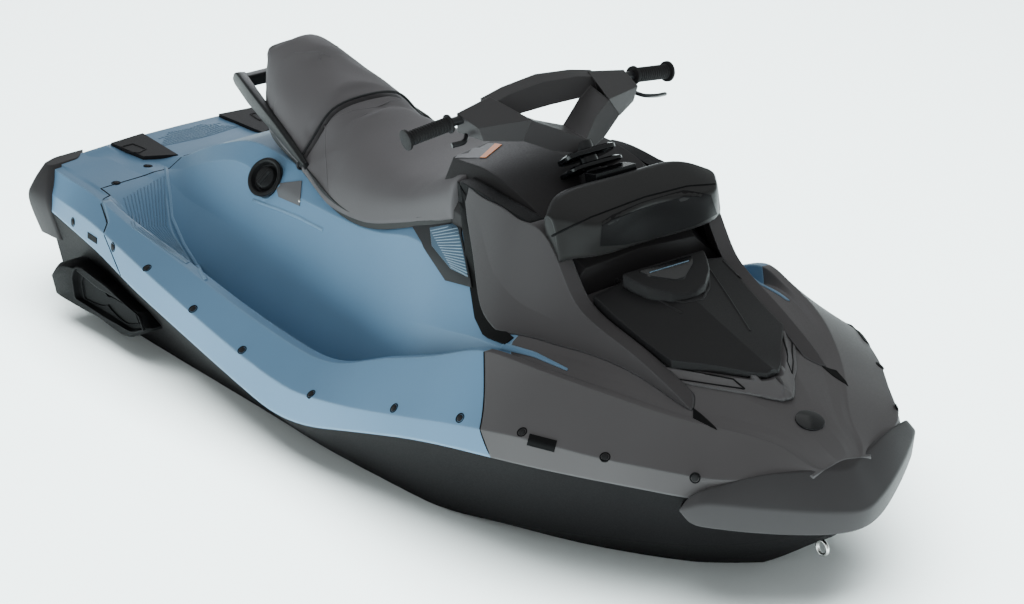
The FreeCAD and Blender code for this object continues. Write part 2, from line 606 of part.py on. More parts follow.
def make_bumper(shells):
    """Wrap-round rubbing bumper at the bow, through upright sections square to its run."""
    sections = []
    for side, rows in ((1, BUMPER_ROWS), (-1, list(reversed(BUMPER_ROWS[:-1])))):
        for x, y, ridge_z, bearing, top_share, top_z, lip_share, lip_z in rows:
            angle = math.radians(bearing)
            inward = Vector(-math.cos(angle), -side * math.sin(angle), 0) * BUMPER_DEPTH
            top, lip = spot(x, y, top_z, side), spot(x, y, lip_z, side)
            sections.append([top + inward * top_share, spot(x, y, ridge_z, side), lip + inward * lip_share,
                             lip + inward, top + inward])
    bumper = loft(sections, True)
    for shell in shells:
        ahead = shell.copy()
        ahead.translate(Vector(SEAM_GAP, 0, 0))
        bumper = bumper.cut(ahead)
    return largest(bumper)


def make_corner(shells):
    """Starboard stern corner bumper, through flat sections one above the other."""
    sections = [[spot(x, y, z, -1) for x, y in plan] for z, plan in CORNER_LEVEL_SHARES]
    return largest(without(loft(sections, True), shells))


def make_float(shells):
    """Starboard side float with a sunk panel."""
    def face(outline, y_share, draw):
        middle_x = sum(x for x, z in outline) / len(outline)
        middle_z = sum(z for x, z in outline) / len(outline)
        centre = spot(middle_x, y_share, middle_z, -1)
        points = []
        for x, z in outline:
            point = spot(x, y_share, z, -1)
            inward = (centre - point).normalize()
            points.append(point + inward * draw)
        return points
    outer = FLOAT_OUTER_SHARE * HALF_BEAM
    lift = Vector(0, FLOAT_DRAW, 0)
    body = loft([
        face(FLOAT_SIDE_SHARES, FLOAT_INNER_SHARE, 0),
        [point + lift for point in face(FLOAT_SIDE_SHARES, FLOAT_OUTER_SHARE, 0)],
        face(FLOAT_SIDE_SHARES, FLOAT_OUTER_SHARE, FLOAT_DRAW),
    ], True)
    panel = prism(face(FLOAT_PANEL_SHARES, FLOAT_OUTER_SHARE, 0), Vector(0, OVERRUN + FLOAT_PANEL_DEPTH, 0))
    panel.translate(Vector(0, -OVERRUN, 0))
    return largest(without(body.cut(panel), shells))


def make_pads(deck):
    """Grip pads on the boarding platform."""
    solids = []
    for side in (-1, 1):
        outline = [spot(x, y, CROWN_SHARES[0][2], side) for x, y in PAD_PLAN_SHARES]
        for point in outline:
            point.z -= PAD_SINK
        pad = prism(outline, Vector(0, 0, PAD_THICKNESS))
        solids.append(pad.cut(deck))
    return Part.makeCompound(solids)


def make_tow_eye(deck):
    """Tow eye under the stern overhang."""
    centre = spot(TOW_EYE_SHARE[0], 0, TOW_EYE_SHARE[1])
    ring = Part.makeTorus(TOW_EYE_RADIUS, TOW_EYE_ROD, centre, Vector(0, 1, 0))
    return ring.cut(deck)


def make_bow_eye(hull):
    """Bow eye under the bumper."""
    centre = spot(BOW_EYE_SHARE[0], 0, BOW_EYE_SHARE[1])
    ring = Part.makeTorus(BOW_EYE_RADIUS, BOW_EYE_ROD, centre, Vector(0, 1, 0))
    return ring.cut(hull)


def make_seat_pieces(deck, console):
    """Hard base, and the rear and front cushions on it."""
    cushion, base = [], []
    for x, low_y, low_z, side_y, side_z, shoulder_y, shoulder_z, crown_z in SEAT_SHARES:
        half = [(x, low_y, low_z), (x, side_y, side_z), (x, shoulder_y, shoulder_z), (x, 0, crown_z)]
        cushion.append(both_sides(half))
        base_top = low_z - SEAM_GAP / HEIGHT
        base_foot = low_z - SEAT_BASE_DEPTH / HEIGHT
        base.append(both_sides([(x, low_y, base_foot), (x, low_y, base_top)]))
    rear_side = side_prism([(0, 0), (SEAT_SEAM_SHARE, 0), (SEAT_SEAM_SHARE, REACH_SHARE), (0, REACH_SHARE)])
    whole = without(loft(cushion), [deck, console])
    base = without(loft(base), [deck, console, whole])
    return largest(base), largest(whole.common(rear_side)), largest(whole.cut(rear_side))


def make_handle(deck):
    """Grab handle: two arms on tabs from the pedestal, and the bar between them."""
    arms = []
    ends = []
    for side in (-1, 1):
        foot = spot(*HANDLE_FOOT_SHARE, side)
        top = spot(*HANDLE_TOP_SHARE, side)
        arms.append(beam(foot, top, HANDLE_WIDTH, HANDLE_HEIGHT))
        tab_start = spot(*HANDLE_TAB_SHARE, side)
        tab_end = spot(HANDLE_TAB_SHARE[0], HANDLE_TAB_REACH_SHARE, HANDLE_TAB_SHARE[2], side)
        arms.append(beam(tab_start, tab_end, HANDLE_HEIGHT, HANDLE_WIDTH))
        ends.append(top + (foot - top) * HANDLE_BAR_SHARE)
    bar = beam(ends[0], ends[1], HANDLE_BAR_HEIGHT, HANDLE_BAR_HEIGHT)
    return largest(joined(arms + [bar]).cut(deck))


def make_cap(deck):
    """Fuel filler: ring and turning knob, set in the flank."""
    x, y, z = CAP_CENTRE_SHARE
    centre = spot(x, y, z, -1)
    normal = Vector(*CAP_NORMAL_SHARES).normalize()
    ring = rod(centre - normal * CAP_SINK, centre + normal * CAP_STAND, CAP_RADIUS)
    well = rod(centre, centre + normal * (CAP_STAND + OVERRUN), CAP_RADIUS - CAP_RING_WIDTH)
    knob = rod(centre - normal * CAP_STAND, centre + normal * CAP_KNOB_STAND, CAP_KNOB_RADIUS)
    return ring.cut(well).fuse(knob), rod(centre - normal * CAP_SINK, centre + normal * CAP_SINK, CAP_RADIUS)


def make_console(deck):
    """Console between the seat and the foredeck."""
    sections = []
    for x, foot_y, foot_z, side_y, side_z, shoulder_y, shoulder_z, crown_z in CONSOLE_SHARES:
        half = [(x, foot_y, foot_z), (x, side_y, side_z), (x, shoulder_y, shoulder_z), (x, 0, crown_z)]
        sections.append(both_sides(half))
    return loft(sections).cut(deck)


def make_wing(rows, others):
    """Port side panel off the console's side: the folded wing, or the surround behind it."""
    inward = Vector(0, -WING_THICKNESS, 0)
    sections = []
    for x, top_y, top_z, mid_y, mid_z, low_y, low_z in rows:
        outer = [spot(x, top_y, top_z), spot(x, mid_y, mid_z), spot(x, low_y, low_z)]
        inner = [point + inward for point in reversed(outer)]
        sections.append(outer + inner)
    return largest(without(loft(sections), others))


def hinge_point(share, across):
    """A point on the lid's hinge line."""
    point = spot(share[0], 0, share[1])
    point.y = across
    return point


def make_lid(deck):
    """Storage lid between the wings, with two hinge lugs at its rear edge."""
    skirt = LID_SKIRT / HEIGHT
    sections = []
    for x, edge_y, edge_z, crown_z in LID_SHARES:
        half = [(x, edge_y, edge_z - skirt), (x, edge_y, edge_z), (x, edge_y / 2, (edge_z + crown_z) / 2)]
        sections.append(both_sides(half + [(x, 0, crown_z)]))
    lid = loft(sections)
    raised = deck.copy()
    raised.translate(Vector(0, 0, MOVING_GAP))
    lid = lid.cut(raised)
    for side in (-1, 1):
        outside = []
        for x, top_y, *rest in WING_SHARES:
            reach = Vector(0, side * (WING_THICKNESS + MOVING_GAP), 0)
            outside.append(spot(x, top_y, BIN_FLOOR_SHARE, side) - reach)
        outside.append(spot(WING_SHARES[-1][0], 1, BIN_FLOOR_SHARE, side))
        outside.append(spot(WING_SHARES[0][0], 1, BIN_FLOOR_SHARE, side))
        lid = lid.cut(prism(outside, Vector(0, 0, HEIGHT)))
    for side in (-1, 1):
        inside = hinge_point(LID_HINGE_SHARE, side * LID_LUG_INSIDE)
        outside = hinge_point(LID_HINGE_SHARE, side * (LID_LUG_INSIDE + LID_LUG_LENGTH))
        middle = (inside + outside) / 2
        web_end = middle + Vector(LID_WEB_REACH, 0, LID_LUG_RADIUS)
        lug = rod(inside, outside, LID_LUG_RADIUS)
        web = beam(middle, web_end, LID_LUG_LENGTH, LID_LUG_RADIUS)
        bore = rod(inside, outside, LID_PIN_RADIUS + PIN_GAP)
        lid = lid.fuse(lug).fuse(web).cut(bore)
    return lid


def make_lid_pins(console, deck):
    """Console with the ears and pins that carry the lid."""
    for side in (-1, 1):
        inner_y = side * (LID_LUG_INSIDE - LID_EAR_THICKNESS - PIN_GAP)
        pin_end = hinge_point(LID_HINGE_SHARE, side * (LID_LUG_INSIDE + LID_LUG_LENGTH))
        root = hinge_point(LID_HINGE_SHARE, inner_y)
        ear_start = root - Vector(LID_EAR_REACH, 0, 0)
        ear = beam(ear_start, root, LID_EAR_THICKNESS, 2 * LID_LUG_RADIUS)
        nose = rod(root - Vector(0, LID_EAR_THICKNESS / 2, 0), root + Vector(0, LID_EAR_THICKNESS / 2, 0),
                   LID_LUG_RADIUS)
        console = console.fuse(ear.cut(deck)).fuse(nose).fuse(rod(root, pin_end, LID_PIN_RADIUS))
    return console


def storage_bin():
    """Space below the lid."""
    floor_z = BIN_FLOOR_SHARE * HEIGHT
    rear = BIN_REAR_SHARE * LENGTH
    return block(rear, BIN_FRONT_SHARE * LENGTH, BIN_HALF_WIDTH, floor_z, HEIGHT)


def make_frame(others):
    """Grey frame that borders the lid's nose."""
    drop = Vector(0, 0, -FRAME_DROP)
    rows = list(zip(FRAME_OUTER_SHARES, FRAME_INNER_SHARES))
    sections = []
    for side, ordered in ((1, rows), (-1, list(reversed(rows[:-1])))):
        for outer_share, inner_share in ordered:
            outer, inner = spot(*outer_share, side), spot(*inner_share, side)
            sections.append([outer, inner, inner + drop, outer + drop])
    return largest(without(loft(sections, True), others))


def make_pod(others):
    """Lower and upper shells, parted along a line that drops to the ends."""
    rows = [(-POD_END_SHARE, POD_END_SHARES), (-POD_SHOULDER_SHARE, POD_SHOULDER_SHARES),
            (0, POD_CENTRE_SHARES), (POD_SHOULDER_SHARE, POD_SHOULDER_SHARES),
            (POD_END_SHARE, POD_END_SHARES)]
    body = loft([[spot(x, y, z) for x, z in outline] for y, outline in rows], True)
    rise = [spot(MIDSHIPS_SHARE, y, z) for y, z in POD_PARTING_SHARES]
    fall = [spot(MIDSHIPS_SHARE, y, z, -1) for y, z in reversed(POD_PARTING_SHARES[:-1])]
    roof = [spot(MIDSHIPS_SHARE, REACH_SHARE, REACH_SHARE, side) for side in (-1, 1)]
    upper_side = prism(rise + fall + roof, Vector(MIDSHIPS_SHARE * LENGTH, 0, 0))
    upper = body.common(upper_side)
    lower = body.cut(upper_side)
    return largest(without(lower, others)), largest(without(upper, others))


def make_bezel(lid):
    """V-shaped bezel on the lid's rear."""
    low, rear_z, front_z = BEZEL_HEIGHT_SHARES
    port = [spot(x, y, low) for x, y in BEZEL_PLAN_SHARES]
    starboard = [spot(x, y, low, -1) for x, y in reversed(BEZEL_PLAN_SHARES) if y > 0]
    body = prism(port + starboard, Vector(0, 0, (rear_z - low) * HEIGHT))
    slope = side_prism([(BEZEL_PLAN_SHARES[0][0], rear_z), (REACH_SHARE, rear_z), (REACH_SHARE, front_z),
                        (BEZEL_PLAN_SHARES[-1][0], front_z)])
    return body.cut(slope).cut(lid)


def make_grille(deck, others):
    """Port side grille: a thin panel that follows the flank."""
    outline = [spot(x, GRILLE_INSIDE_SHARE, z) for x, z in GRILLE_SHARES]
    raised = deck.copy()
    raised.translate(Vector(0, GRILLE_THICKNESS, 0))
    grille = prism(outline, Vector(0, HALF_BEAM / 2, 0)).common(raised).cut(deck)
    return largest(without(grille, others))


def make_gauge(others):
    """Gauge housing standing on the console behind the pod."""
    top = spot(GAUGE_SHARE[0], 0, GAUGE_SHARE[1])
    corner = top - Vector(GAUGE_LENGTH / 2, GAUGE_WIDTH / 2, GAUGE_HEIGHT)
    body = Part.makeBox(GAUGE_LENGTH, GAUGE_WIDTH, GAUGE_HEIGHT, corner)
    body.rotate(top, Vector(0, 1, 0), -GAUGE_TILT_DEGREES)
    return largest(without(body, others))


def column_axis():
    """Direction of the steering column, up and back."""
    tilt = math.radians(COLUMN_TILT_DEGREES)
    return Vector(-math.sin(tilt), 0, math.cos(tilt))


def make_column():
    """Steering column; the console carries the collar round it."""
    foot = spot(COLUMN_SHARE[0], 0, COLUMN_SHARE[1])
    axis = column_axis()
    return rod(foot - axis * COLLAR_HEIGHT, foot + axis * COLUMN_LENGTH, COLUMN_RADIUS)


def collar_parts():
    """Collar round the column's foot, and the well it turns in."""
    foot = spot(COLUMN_SHARE[0], 0, COLUMN_SHARE[1])
    axis = column_axis()
    collar = rod(foot - axis * COLLAR_DEPTH, foot + axis * COLLAR_HEIGHT, COLLAR_RADIUS)
    well = rod(foot - axis * (COLLAR_HEIGHT + COLLAR_GAP), foot + axis * COLUMN_LENGTH,
               COLUMN_RADIUS + COLLAR_GAP)
    return collar, well


def make_bars(column):
    """Bent handlebar tube on a yoke block."""
    axis = column_axis()
    top = spot(COLUMN_SHARE[0], 0, COLUMN_SHARE[1]) + axis * COLUMN_LENGTH
    half_yoke = Vector(0, YOKE_WIDTH / 2, 0)
    tubes = [beam(top - half_yoke, top + half_yoke, YOKE_LENGTH, YOKE_HEIGHT, axis)]
    for side in (-1, 1):
        foot = spot(*BAR_FOOT_SHARE, side)
        bend = spot(*BAR_BEND_SHARE, side)
        end = spot(*BAR_END_SHARE, side)
        tubes.append(rod(foot, bend, BAR_RADIUS))
        tubes.append(Part.makeSphere(BAR_RADIUS, bend))
        tubes.append(rod(bend, end, BAR_RADIUS))
    return joined(tubes).cut(column)


def make_grips(bars):
    """Rubber grips with end flanges."""
    solids = []
    for side in (-1, 1):
        bend = spot(*BAR_BEND_SHARE, side)
        end = spot(*BAR_END_SHARE, side)
        along = (end - bend).normalize()
        start = end - along * GRIP_LENGTH
        grip = rod(start, end + along * GRIP_FLANGE, GRIP_RADIUS)
        grip = grip.fuse(rod(end, end + along * GRIP_FLANGE, GRIP_FLANGE_RADIUS))
        grip = grip.fuse(rod(start, start + along * GRIP_FLANGE, GRIP_FLANGE_RADIUS))
        solids.append(grip.cut(bars))
    return Part.makeCompound(solids)


def make_cover(bars, column, grips):
    """Moulded cover: two arms up from the yoke and a pad across their ends."""
    pieces = []
    for side in (-1, 1):
        points = [spot(*share, side) for share in COVER_ARM_SHARES]
        for start, end in zip(points, points[1:]):
            pieces.append(beam(start, end, COVER_ARM_WIDTH, COVER_ARM_HEIGHT))
        pieces.append(beam(points[-1], spot(*PAD_BAR_SHARES[0], side), PAD_BAR_WIDTH, PAD_BAR_HEIGHT))
    outer_port, centre = spot(*PAD_BAR_SHARES[0]), spot(*PAD_BAR_SHARES[1])
    outer_starboard = spot(*PAD_BAR_SHARES[0], -1)
    pieces.append(beam(outer_port, centre, PAD_BAR_WIDTH, PAD_BAR_HEIGHT))
    pieces.append(beam(centre, outer_starboard, PAD_BAR_WIDTH, PAD_BAR_HEIGHT))
    foot_port, foot_starboard = spot(*COVER_ARM_SHARES[0]), spot(*COVER_ARM_SHARES[0], -1)
    pieces.append(beam(foot_starboard, foot_port, COVER_ARM_WIDTH, COVER_ARM_HEIGHT))
    return largest(without(joined(pieces), [bars, column, grips]))


def make_levers(cover, bars):
    """Throttle and brake levers in front of the grips."""
    solids = []
    for side in (-1, 1):
        root = spot(*LEVER_ROOT_SHARE, side)
        bend = spot(*LEVER_BEND_SHARE, side)
        tip = spot(*LEVER_TIP_SHARE, side)
        inner_half = beam(root, bend, LEVER_THICKNESS, LEVER_WIDTH)
        outer_half = beam(bend, tip, LEVER_THICKNESS, LEVER_WIDTH)
        lever = joined([inner_half, outer_half, Part.makeSphere(LEVER_WIDTH / 2, bend)])
        mount = beam(root, spot(*BAR_BEND_SHARE, side), LEVER_WIDTH, LEVER_WIDTH)
        solids.append(joined([lever, mount]).cut(cover).cut(bars))
    return Part.makeCompound(solids)


def jet_point(from_stern, across=0.0, rise=0.0):
    """A point measured from the jet's centreline."""
    return place(from_stern, across, JET_CENTRE_HEIGHT + rise)


def make_pump(deck):
    """Pump housing, vanes and tapering outlet, hung by a lug from the deck's underside."""
    outer = rod(jet_point(PUMP_REAR), jet_point(PUMP_FRONT), PUMP_RADIUS)
    inner = rod(jet_point(PUMP_REAR), jet_point(PUMP_FRONT), PUMP_RADIUS - PUMP_WALL)
    taper = cone(jet_point(VENTURI_REAR), jet_point(PUMP_REAR), VENTURI_RADIUS, PUMP_RADIUS)
    hollow = cone(jet_point(VENTURI_REAR), jet_point(PUMP_REAR), VENTURI_RADIUS - VENTURI_WALL,
                  PUMP_RADIUS - PUMP_WALL)
    housing = outer.cut(inner).fuse(taper.cut(hollow))
    hub = cone(jet_point(VENTURI_REAR + PUMP_WALL), jet_point(PUMP_REAR), PUMP_WALL, IMPELLER_HUB_RADIUS)
    hub = hub.fuse(rod(jet_point(PUMP_REAR), jet_point(IMPELLER_REAR - PIN_GAP), IMPELLER_HUB_RADIUS))
    vanes = []
    for index in range(VANE_COUNT):
        corner = jet_point(PUMP_REAR, -VANE_THICKNESS / 2, 0)
        vane = Part.makeBox(IMPELLER_REAR - PUMP_REAR - MOVING_GAP, VANE_THICKNESS,
                            PUMP_RADIUS - PUMP_WALL / 2, corner)
        vane.rotate(jet_point(0), Vector(1, 0, 0), FULL_TURN / VANE_COUNT * index)
        vanes.append(vane)
    housing = joined([housing, hub] + vanes)
    bore = rod(jet_point(PUMP_REAR), jet_point(IMPELLER_REAR), SHAFT_RADIUS + SHAFT_GAP)
    lug = beam(jet_point(PUMP_FRONT - BRACKET_HEIGHT / 2, 0, PUMP_RADIUS - PUMP_WALL / 2),
               jet_point(PUMP_FRONT - BRACKET_HEIGHT / 2, 0, TUNNEL_ROOF - JET_CENTRE_HEIGHT),
               BRACKET_HEIGHT, BRACKET_HEIGHT, Vector(1, 0, 0))
    flange = rod(jet_point(PUMP_FRONT), jet_point(TUNNEL_FRONT), PUMP_RADIUS + PUMP_WALL)
    flange = flange.cut(rod(jet_point(PUMP_FRONT), jet_point(TUNNEL_FRONT), PUMP_RADIUS - PUMP_WALL))
    lowered = deck.copy()
    lowered.translate(Vector(0, 0, -SEAM_GAP))
    return housing.cut(bore).fuse(lug).fuse(flange).cut(lowered)


def make_brackets(housing):
    """Side brackets to the rear of the pump, with the trim bores and the gate's pins."""
    solids = []
    for side in (-1, 1):
        arm_y = side * (BRACKET_INSIDE + BRACKET_THICKNESS / 2)
        rear = jet_point(PIVOT_FROM_STERN - BRACKET_TAIL, arm_y, 0)
        front = jet_point(PUMP_REAR + PUMP_WALL, arm_y, 0)
        arm = beam(rear, front, BRACKET_THICKNESS, BRACKET_HEIGHT)
        pin_start = jet_point(GATE_PIVOT_FROM_STERN, arm_y, GATE_PIVOT_RISE)
        pin_y = side * (GATE_HALF_WIDTH + BRACKET_THICKNESS)
        pin_end = jet_point(GATE_PIVOT_FROM_STERN, pin_y, GATE_PIVOT_RISE)
        hole = rod(jet_point(PIVOT_FROM_STERN, arm_y - side * BRACKET_THICKNESS, 0),
                   jet_point(PIVOT_FROM_STERN, arm_y + side * BRACKET_THICKNESS, 0), PIN_RADIUS + PIN_GAP)
        foot_y = side * (PUMP_RADIUS - PUMP_WALL / 2)
        foot_end = jet_point(PUMP_REAR + PUMP_WALL + BRACKET_HEIGHT, foot_y, 0)
        foot = beam(front, foot_end, BRACKET_THICKNESS, BRACKET_HEIGHT / 2)
        bracket = joined([arm, foot]).cut(hole).fuse(rod(pin_start, pin_end, PIN_RADIUS))
        solids.append(largest(bracket.cut(housing)))
    return Part.makeCompound(solids)


def make_impeller():
    """Impeller with twisted blades on the drive shaft."""
    hub = rod(jet_point(IMPELLER_REAR), jet_point(IMPELLER_FRONT), IMPELLER_HUB_RADIUS)
    nose = cone(jet_point(IMPELLER_FRONT), jet_point(IMPELLER_FRONT + IMPELLER_HUB_RADIUS),
                IMPELLER_HUB_RADIUS, SHAFT_RADIUS)
    shaft = rod(jet_point(PUMP_REAR + PUMP_WALL), jet_point(SHAFT_FRONT), SHAFT_RADIUS)
    tip = PUMP_RADIUS - PUMP_WALL - IMPELLER_TIP_GAP
    shapes = [hub, nose, shaft]
    reach = IMPELLER_FRONT - IMPELLER_REAR
    for index in range(IMPELLER_BLADES):
        sections = []
        for step in range(BLADE_STEPS + 1):
            twist = BLADE_TWIST_DEGREES * step / BLADE_STEPS
            turn = math.radians(FULL_TURN / IMPELLER_BLADES * index + twist)
            outward = Vector(0, math.cos(turn), math.sin(turn))
            across = Vector(0, -math.sin(turn), math.cos(turn)) * (BLADE_THICKNESS / 2)
            centre = jet_point(IMPELLER_REAR + reach * step / BLADE_STEPS)
            root, end = centre + outward * SHAFT_RADIUS, centre + outward * (tip - BLADE_CORNER_GAP)
            sections.append([root - across, end - across, end + across, root + across])
        shapes.append(loft(sections))
    return joined(shapes)


def make_trim_ring():
    """Ring that tips the nozzle up and down, with side pins and bores for the steering pins."""
    half = TRIM_RING_WIDTH / 2
    outer_radius = TRIM_RING_RADIUS + TRIM_RING_WALL
    ring_rear, ring_front = jet_point(PIVOT_FROM_STERN - half), jet_point(PIVOT_FROM_STERN + half)
    ring = rod(ring_rear, ring_front, outer_radius).cut(rod(ring_rear, ring_front, TRIM_RING_RADIUS))
    for side in (-1, 1):
        start = jet_point(PIVOT_FROM_STERN, side * (TRIM_RING_RADIUS + TRIM_RING_WALL / 2), 0)
        end = jet_point(PIVOT_FROM_STERN, side * (BRACKET_INSIDE + BRACKET_THICKNESS), 0)
        hole = rod(jet_point(PIVOT_FROM_STERN, 0, side * TRIM_RING_RADIUS / 2),
                   jet_point(PIVOT_FROM_STERN, 0, side * (outer_radius + OVERRUN)), PIN_RADIUS + PIN_GAP)
        ring = ring.fuse(rod(start, end, PIN_RADIUS)).cut(hole)
    return ring


def make_nozzle():
    """Tapering steering nozzle on two upright pins."""
    outer = cone(jet_point(NOZZLE_REAR), jet_point(NOZZLE_FRONT), NOZZLE_TAIL_RADIUS, NOZZLE_RADIUS)
    inner = cone(jet_point(NOZZLE_REAR), jet_point(NOZZLE_FRONT), NOZZLE_TAIL_RADIUS - NOZZLE_WALL,
                 NOZZLE_RADIUS - NOZZLE_WALL)
    nozzle = outer.cut(inner)
    for side in (-1, 1):
        start = jet_point(PIVOT_FROM_STERN, 0, side * (NOZZLE_RADIUS - NOZZLE_WALL))
        end = jet_point(PIVOT_FROM_STERN, 0, side * (TRIM_RING_RADIUS + TRIM_RING_WALL))
        nozzle = nozzle.fuse(rod(start, end, PIN_RADIUS))
    return nozzle


def make_gate():
    """Reverse gate: a curved bucket on two arms, stowed above the nozzle."""
    pivot = jet_point(GATE_PIVOT_FROM_STERN, 0, GATE_PIVOT_RISE)

    def arc_point(radius, degrees):
        angle = math.radians(degrees)
        return pivot + Vector(-radius * math.cos(angle), 0, radius * math.sin(angle))
    middle = (GATE_FROM_DEGREES + GATE_TO_DEGREES) / 2
    outer = [arc_point(GATE_RADIUS, angle) for angle in (GATE_FROM_DEGREES, middle, GATE_TO_DEGREES)]
    inner_radius = GATE_RADIUS - GATE_WALL
    inner = [arc_point(inner_radius, angle) for angle in (GATE_TO_DEGREES, middle, GATE_FROM_DEGREES)]
    wire = Part.Wire([Part.Arc(*outer).toShape(), Part.LineSegment(outer[2], inner[0]).toShape(),
                      Part.Arc(*inner).toShape(), Part.LineSegment(inner[2], outer[0]).toShape()])
    shell = Part.Face(wire).extrude(Vector(0, 2 * GATE_HALF_WIDTH, 0))
    shell.translate(Vector(0, -GATE_HALF_WIDTH, 0))
    gate = shell
    for side in (-1, 1):
        hub_inside = side * (GATE_HALF_WIDTH - GATE_ARM_THICKNESS)
        start = Vector(pivot.x, hub_inside, pivot.z)
        end = Vector(pivot.x, side * GATE_HALF_WIDTH, pivot.z)
        web = Part.Face(Part.Wire([
            Part.Arc(*outer).toShape(), Part.LineSegment(outer[2], pivot).toShape(),
            Part.LineSegment(pivot, outer[0]).toShape()]))
        web = web.extrude(Vector(0, GATE_ARM_THICKNESS, 0))
        web.translate(Vector(0, min(hub_inside, side * GATE_HALF_WIDTH), 0))
        hub = rod(start, end, GATE_HUB_RADIUS)
        bore = rod(start, end, PIN_RADIUS + PIN_GAP)
        gate = gate.fuse(web).fuse(hub).cut(bore)
    return gate


def make_ride_plate(hull):
    """Flat plate closing the bottom of the jet tunnel."""
    start = HULL_START_SHARE * LENGTH
    plate = block(start, TUNNEL_FRONT, TUNNEL_HALF_WIDTH, RIDE_PLATE_UNDERSIDE,
                  RIDE_PLATE_UNDERSIDE + RIDE_PLATE_THICKNESS)
    return plate.cut(hull)


def make_grate(hull):
    """Intake grate: long bars under the duct, joined at the front and the rear."""
    bars = []
    spacing = 2 * INTAKE_HALF_WIDTH / (GRATE_BARS + 1)
    top = RIDE_PLATE_UNDERSIDE + GRATE_BAR_HEIGHT
    for index in range(GRATE_BARS):
        across = spacing * (index + 1) - INTAKE_HALF_WIDTH
        corner = place(TUNNEL_FRONT, across - GRATE_BAR_WIDTH / 2, RIDE_PLATE_UNDERSIDE)
        bars.append(Part.makeBox(INTAKE_FRONT - TUNNEL_FRONT, GRATE_BAR_WIDTH, GRATE_BAR_HEIGHT, corner))
    bars.append(block(TUNNEL_FRONT, TUNNEL_FRONT + GRATE_BAR_HEIGHT, INTAKE_HALF_WIDTH,
                      RIDE_PLATE_UNDERSIDE, top))
    return joined(bars).cut(hull)


hull_body = make_hull_body()
deck_body = make_deck_body()
shells = [hull_body, make_deck_body(FIT_SINK_SHARE)]

hull = make_hull(hull_body)
deck = deck_body.cut(engine_space(ENGINE_GAP))
save("hull", hull)
save("engine_block", make_engine())

bumper = make_bumper(shells)
save("bow_bumper", bumper)
corner = make_corner(shells)
save("stern_corner_starboard", corner)
save("stern_corner_port", mirrored(corner))
side_float = make_float(shells)
save("sponson_starboard", side_float)
save("sponson_port", mirrored(side_float))
save("traction_pads", make_pads(deck_body))
save("tow_eye", make_tow_eye(deck_body))
save("bow_eye", make_bow_eye(hull_body))

cap, cap_hole = make_cap(deck)
deck = deck.cut(cap_hole).cut(storage_bin())
deck_rear, deck_mid, deck_front = split_deck(deck)
save("deck_rear", deck_rear)
save("deck_mid", deck_mid)
save("deck_front", deck_front)
save("fuel_cap", cap)

collar, collar_well = collar_parts()
console_body = make_console(deck_body)
console = console_body.fuse(collar).cut(collar_well)
wing_port = make_wing(WING_SHARES, [deck_body, console_body])
wing_starboard = mirrored(wing_port)
lid = make_lid(deck_body)
console = make_lid_pins(console, deck_body)
save("console", console)
save("wing_port", wing_port)
save("wing_starboard", wing_starboard)
frame = make_frame([deck_body, wing_port, wing_starboard])
frame_gap = frame.copy()
frame_gap.translate(Vector(-MOVING_GAP, 0, 0))
lid = lid.cut(frame_gap).cut(frame)
save("chin_frame", frame)
bezel = make_bezel(lid)
save("storage_lid", lid)
save("lid_bezel", bezel)

pod_lower, pod_upper = make_pod([console, wing_port, wing_starboard])
surround = make_wing(SURROUND_SHARES, [deck_body, console_body, wing_port, pod_lower, pod_upper])
save("surround_port", surround)
save("surround_starboard", mirrored(surround))
save("pod_lower", pod_lower)
save("pod_upper", pod_upper)
save("gauge", make_gauge([console, pod_upper, pod_lower]))

seat_base, seat_rear, seat_front = make_seat_pieces(deck_body, console)
save("seat_base", seat_base)
save("seat_rear", seat_rear)
save("seat_front", seat_front)
save("grab_handle", make_handle(deck_body))
grille = make_grille(deck_body, [console_body, wing_port, surround, seat_base, seat_front])
save("side_grille_port", grille)
save("side_grille_starboard", mirrored(grille))

column = make_column()
bars = make_bars(column)
grips = make_grips(bars)
cover = make_cover(bars, column, grips)
save("steering_column", column)
save("handlebar", bars)
save("grips", grips)
save("bar_cover", cover)
save("levers", make_levers(cover, bars))

pump = make_pump(deck_body)
save("pump_housing", pump)
save("nozzle_brackets", make_brackets(pump))
save("impeller", make_impeller())
save("trim_ring", make_trim_ring())
save("steering_nozzle", make_nozzle())
save("reverse_gate", make_gate())
save("ride_plate", make_ride_plate(hull))
save("intake_grate", make_grate(hull))
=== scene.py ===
import math
import bpy
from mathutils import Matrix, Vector
from mathutils.bvhtree import BVHTree


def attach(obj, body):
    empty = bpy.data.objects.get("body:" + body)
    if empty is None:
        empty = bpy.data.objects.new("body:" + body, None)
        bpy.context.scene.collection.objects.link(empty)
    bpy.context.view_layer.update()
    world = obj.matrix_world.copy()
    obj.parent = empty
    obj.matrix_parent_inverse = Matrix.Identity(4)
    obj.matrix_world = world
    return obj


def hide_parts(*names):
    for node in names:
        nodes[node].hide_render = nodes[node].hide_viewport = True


# A two-seat personal watercraft: moulded polypropylene deck and hull bonded along a flange, a foam
# seat in marine vinyl, a faceted handlebar cover and a cast aluminium jet drive. Metres, +X to the
# bow, +Y to port, with the water at z = 0.
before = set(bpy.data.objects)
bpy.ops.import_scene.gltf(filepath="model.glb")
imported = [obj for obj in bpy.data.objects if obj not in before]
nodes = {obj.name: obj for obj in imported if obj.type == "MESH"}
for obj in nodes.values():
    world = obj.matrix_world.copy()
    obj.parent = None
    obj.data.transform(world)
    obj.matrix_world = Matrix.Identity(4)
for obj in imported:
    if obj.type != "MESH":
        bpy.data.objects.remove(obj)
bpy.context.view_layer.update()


# --- Studio: a pale cove, its floor at the water's level, under one broad overhead softbox ---
# A long lens stands off the starboard bow. A strip light from the stern draws the upper edges.
LENS, SENSOR = 137.6, 36
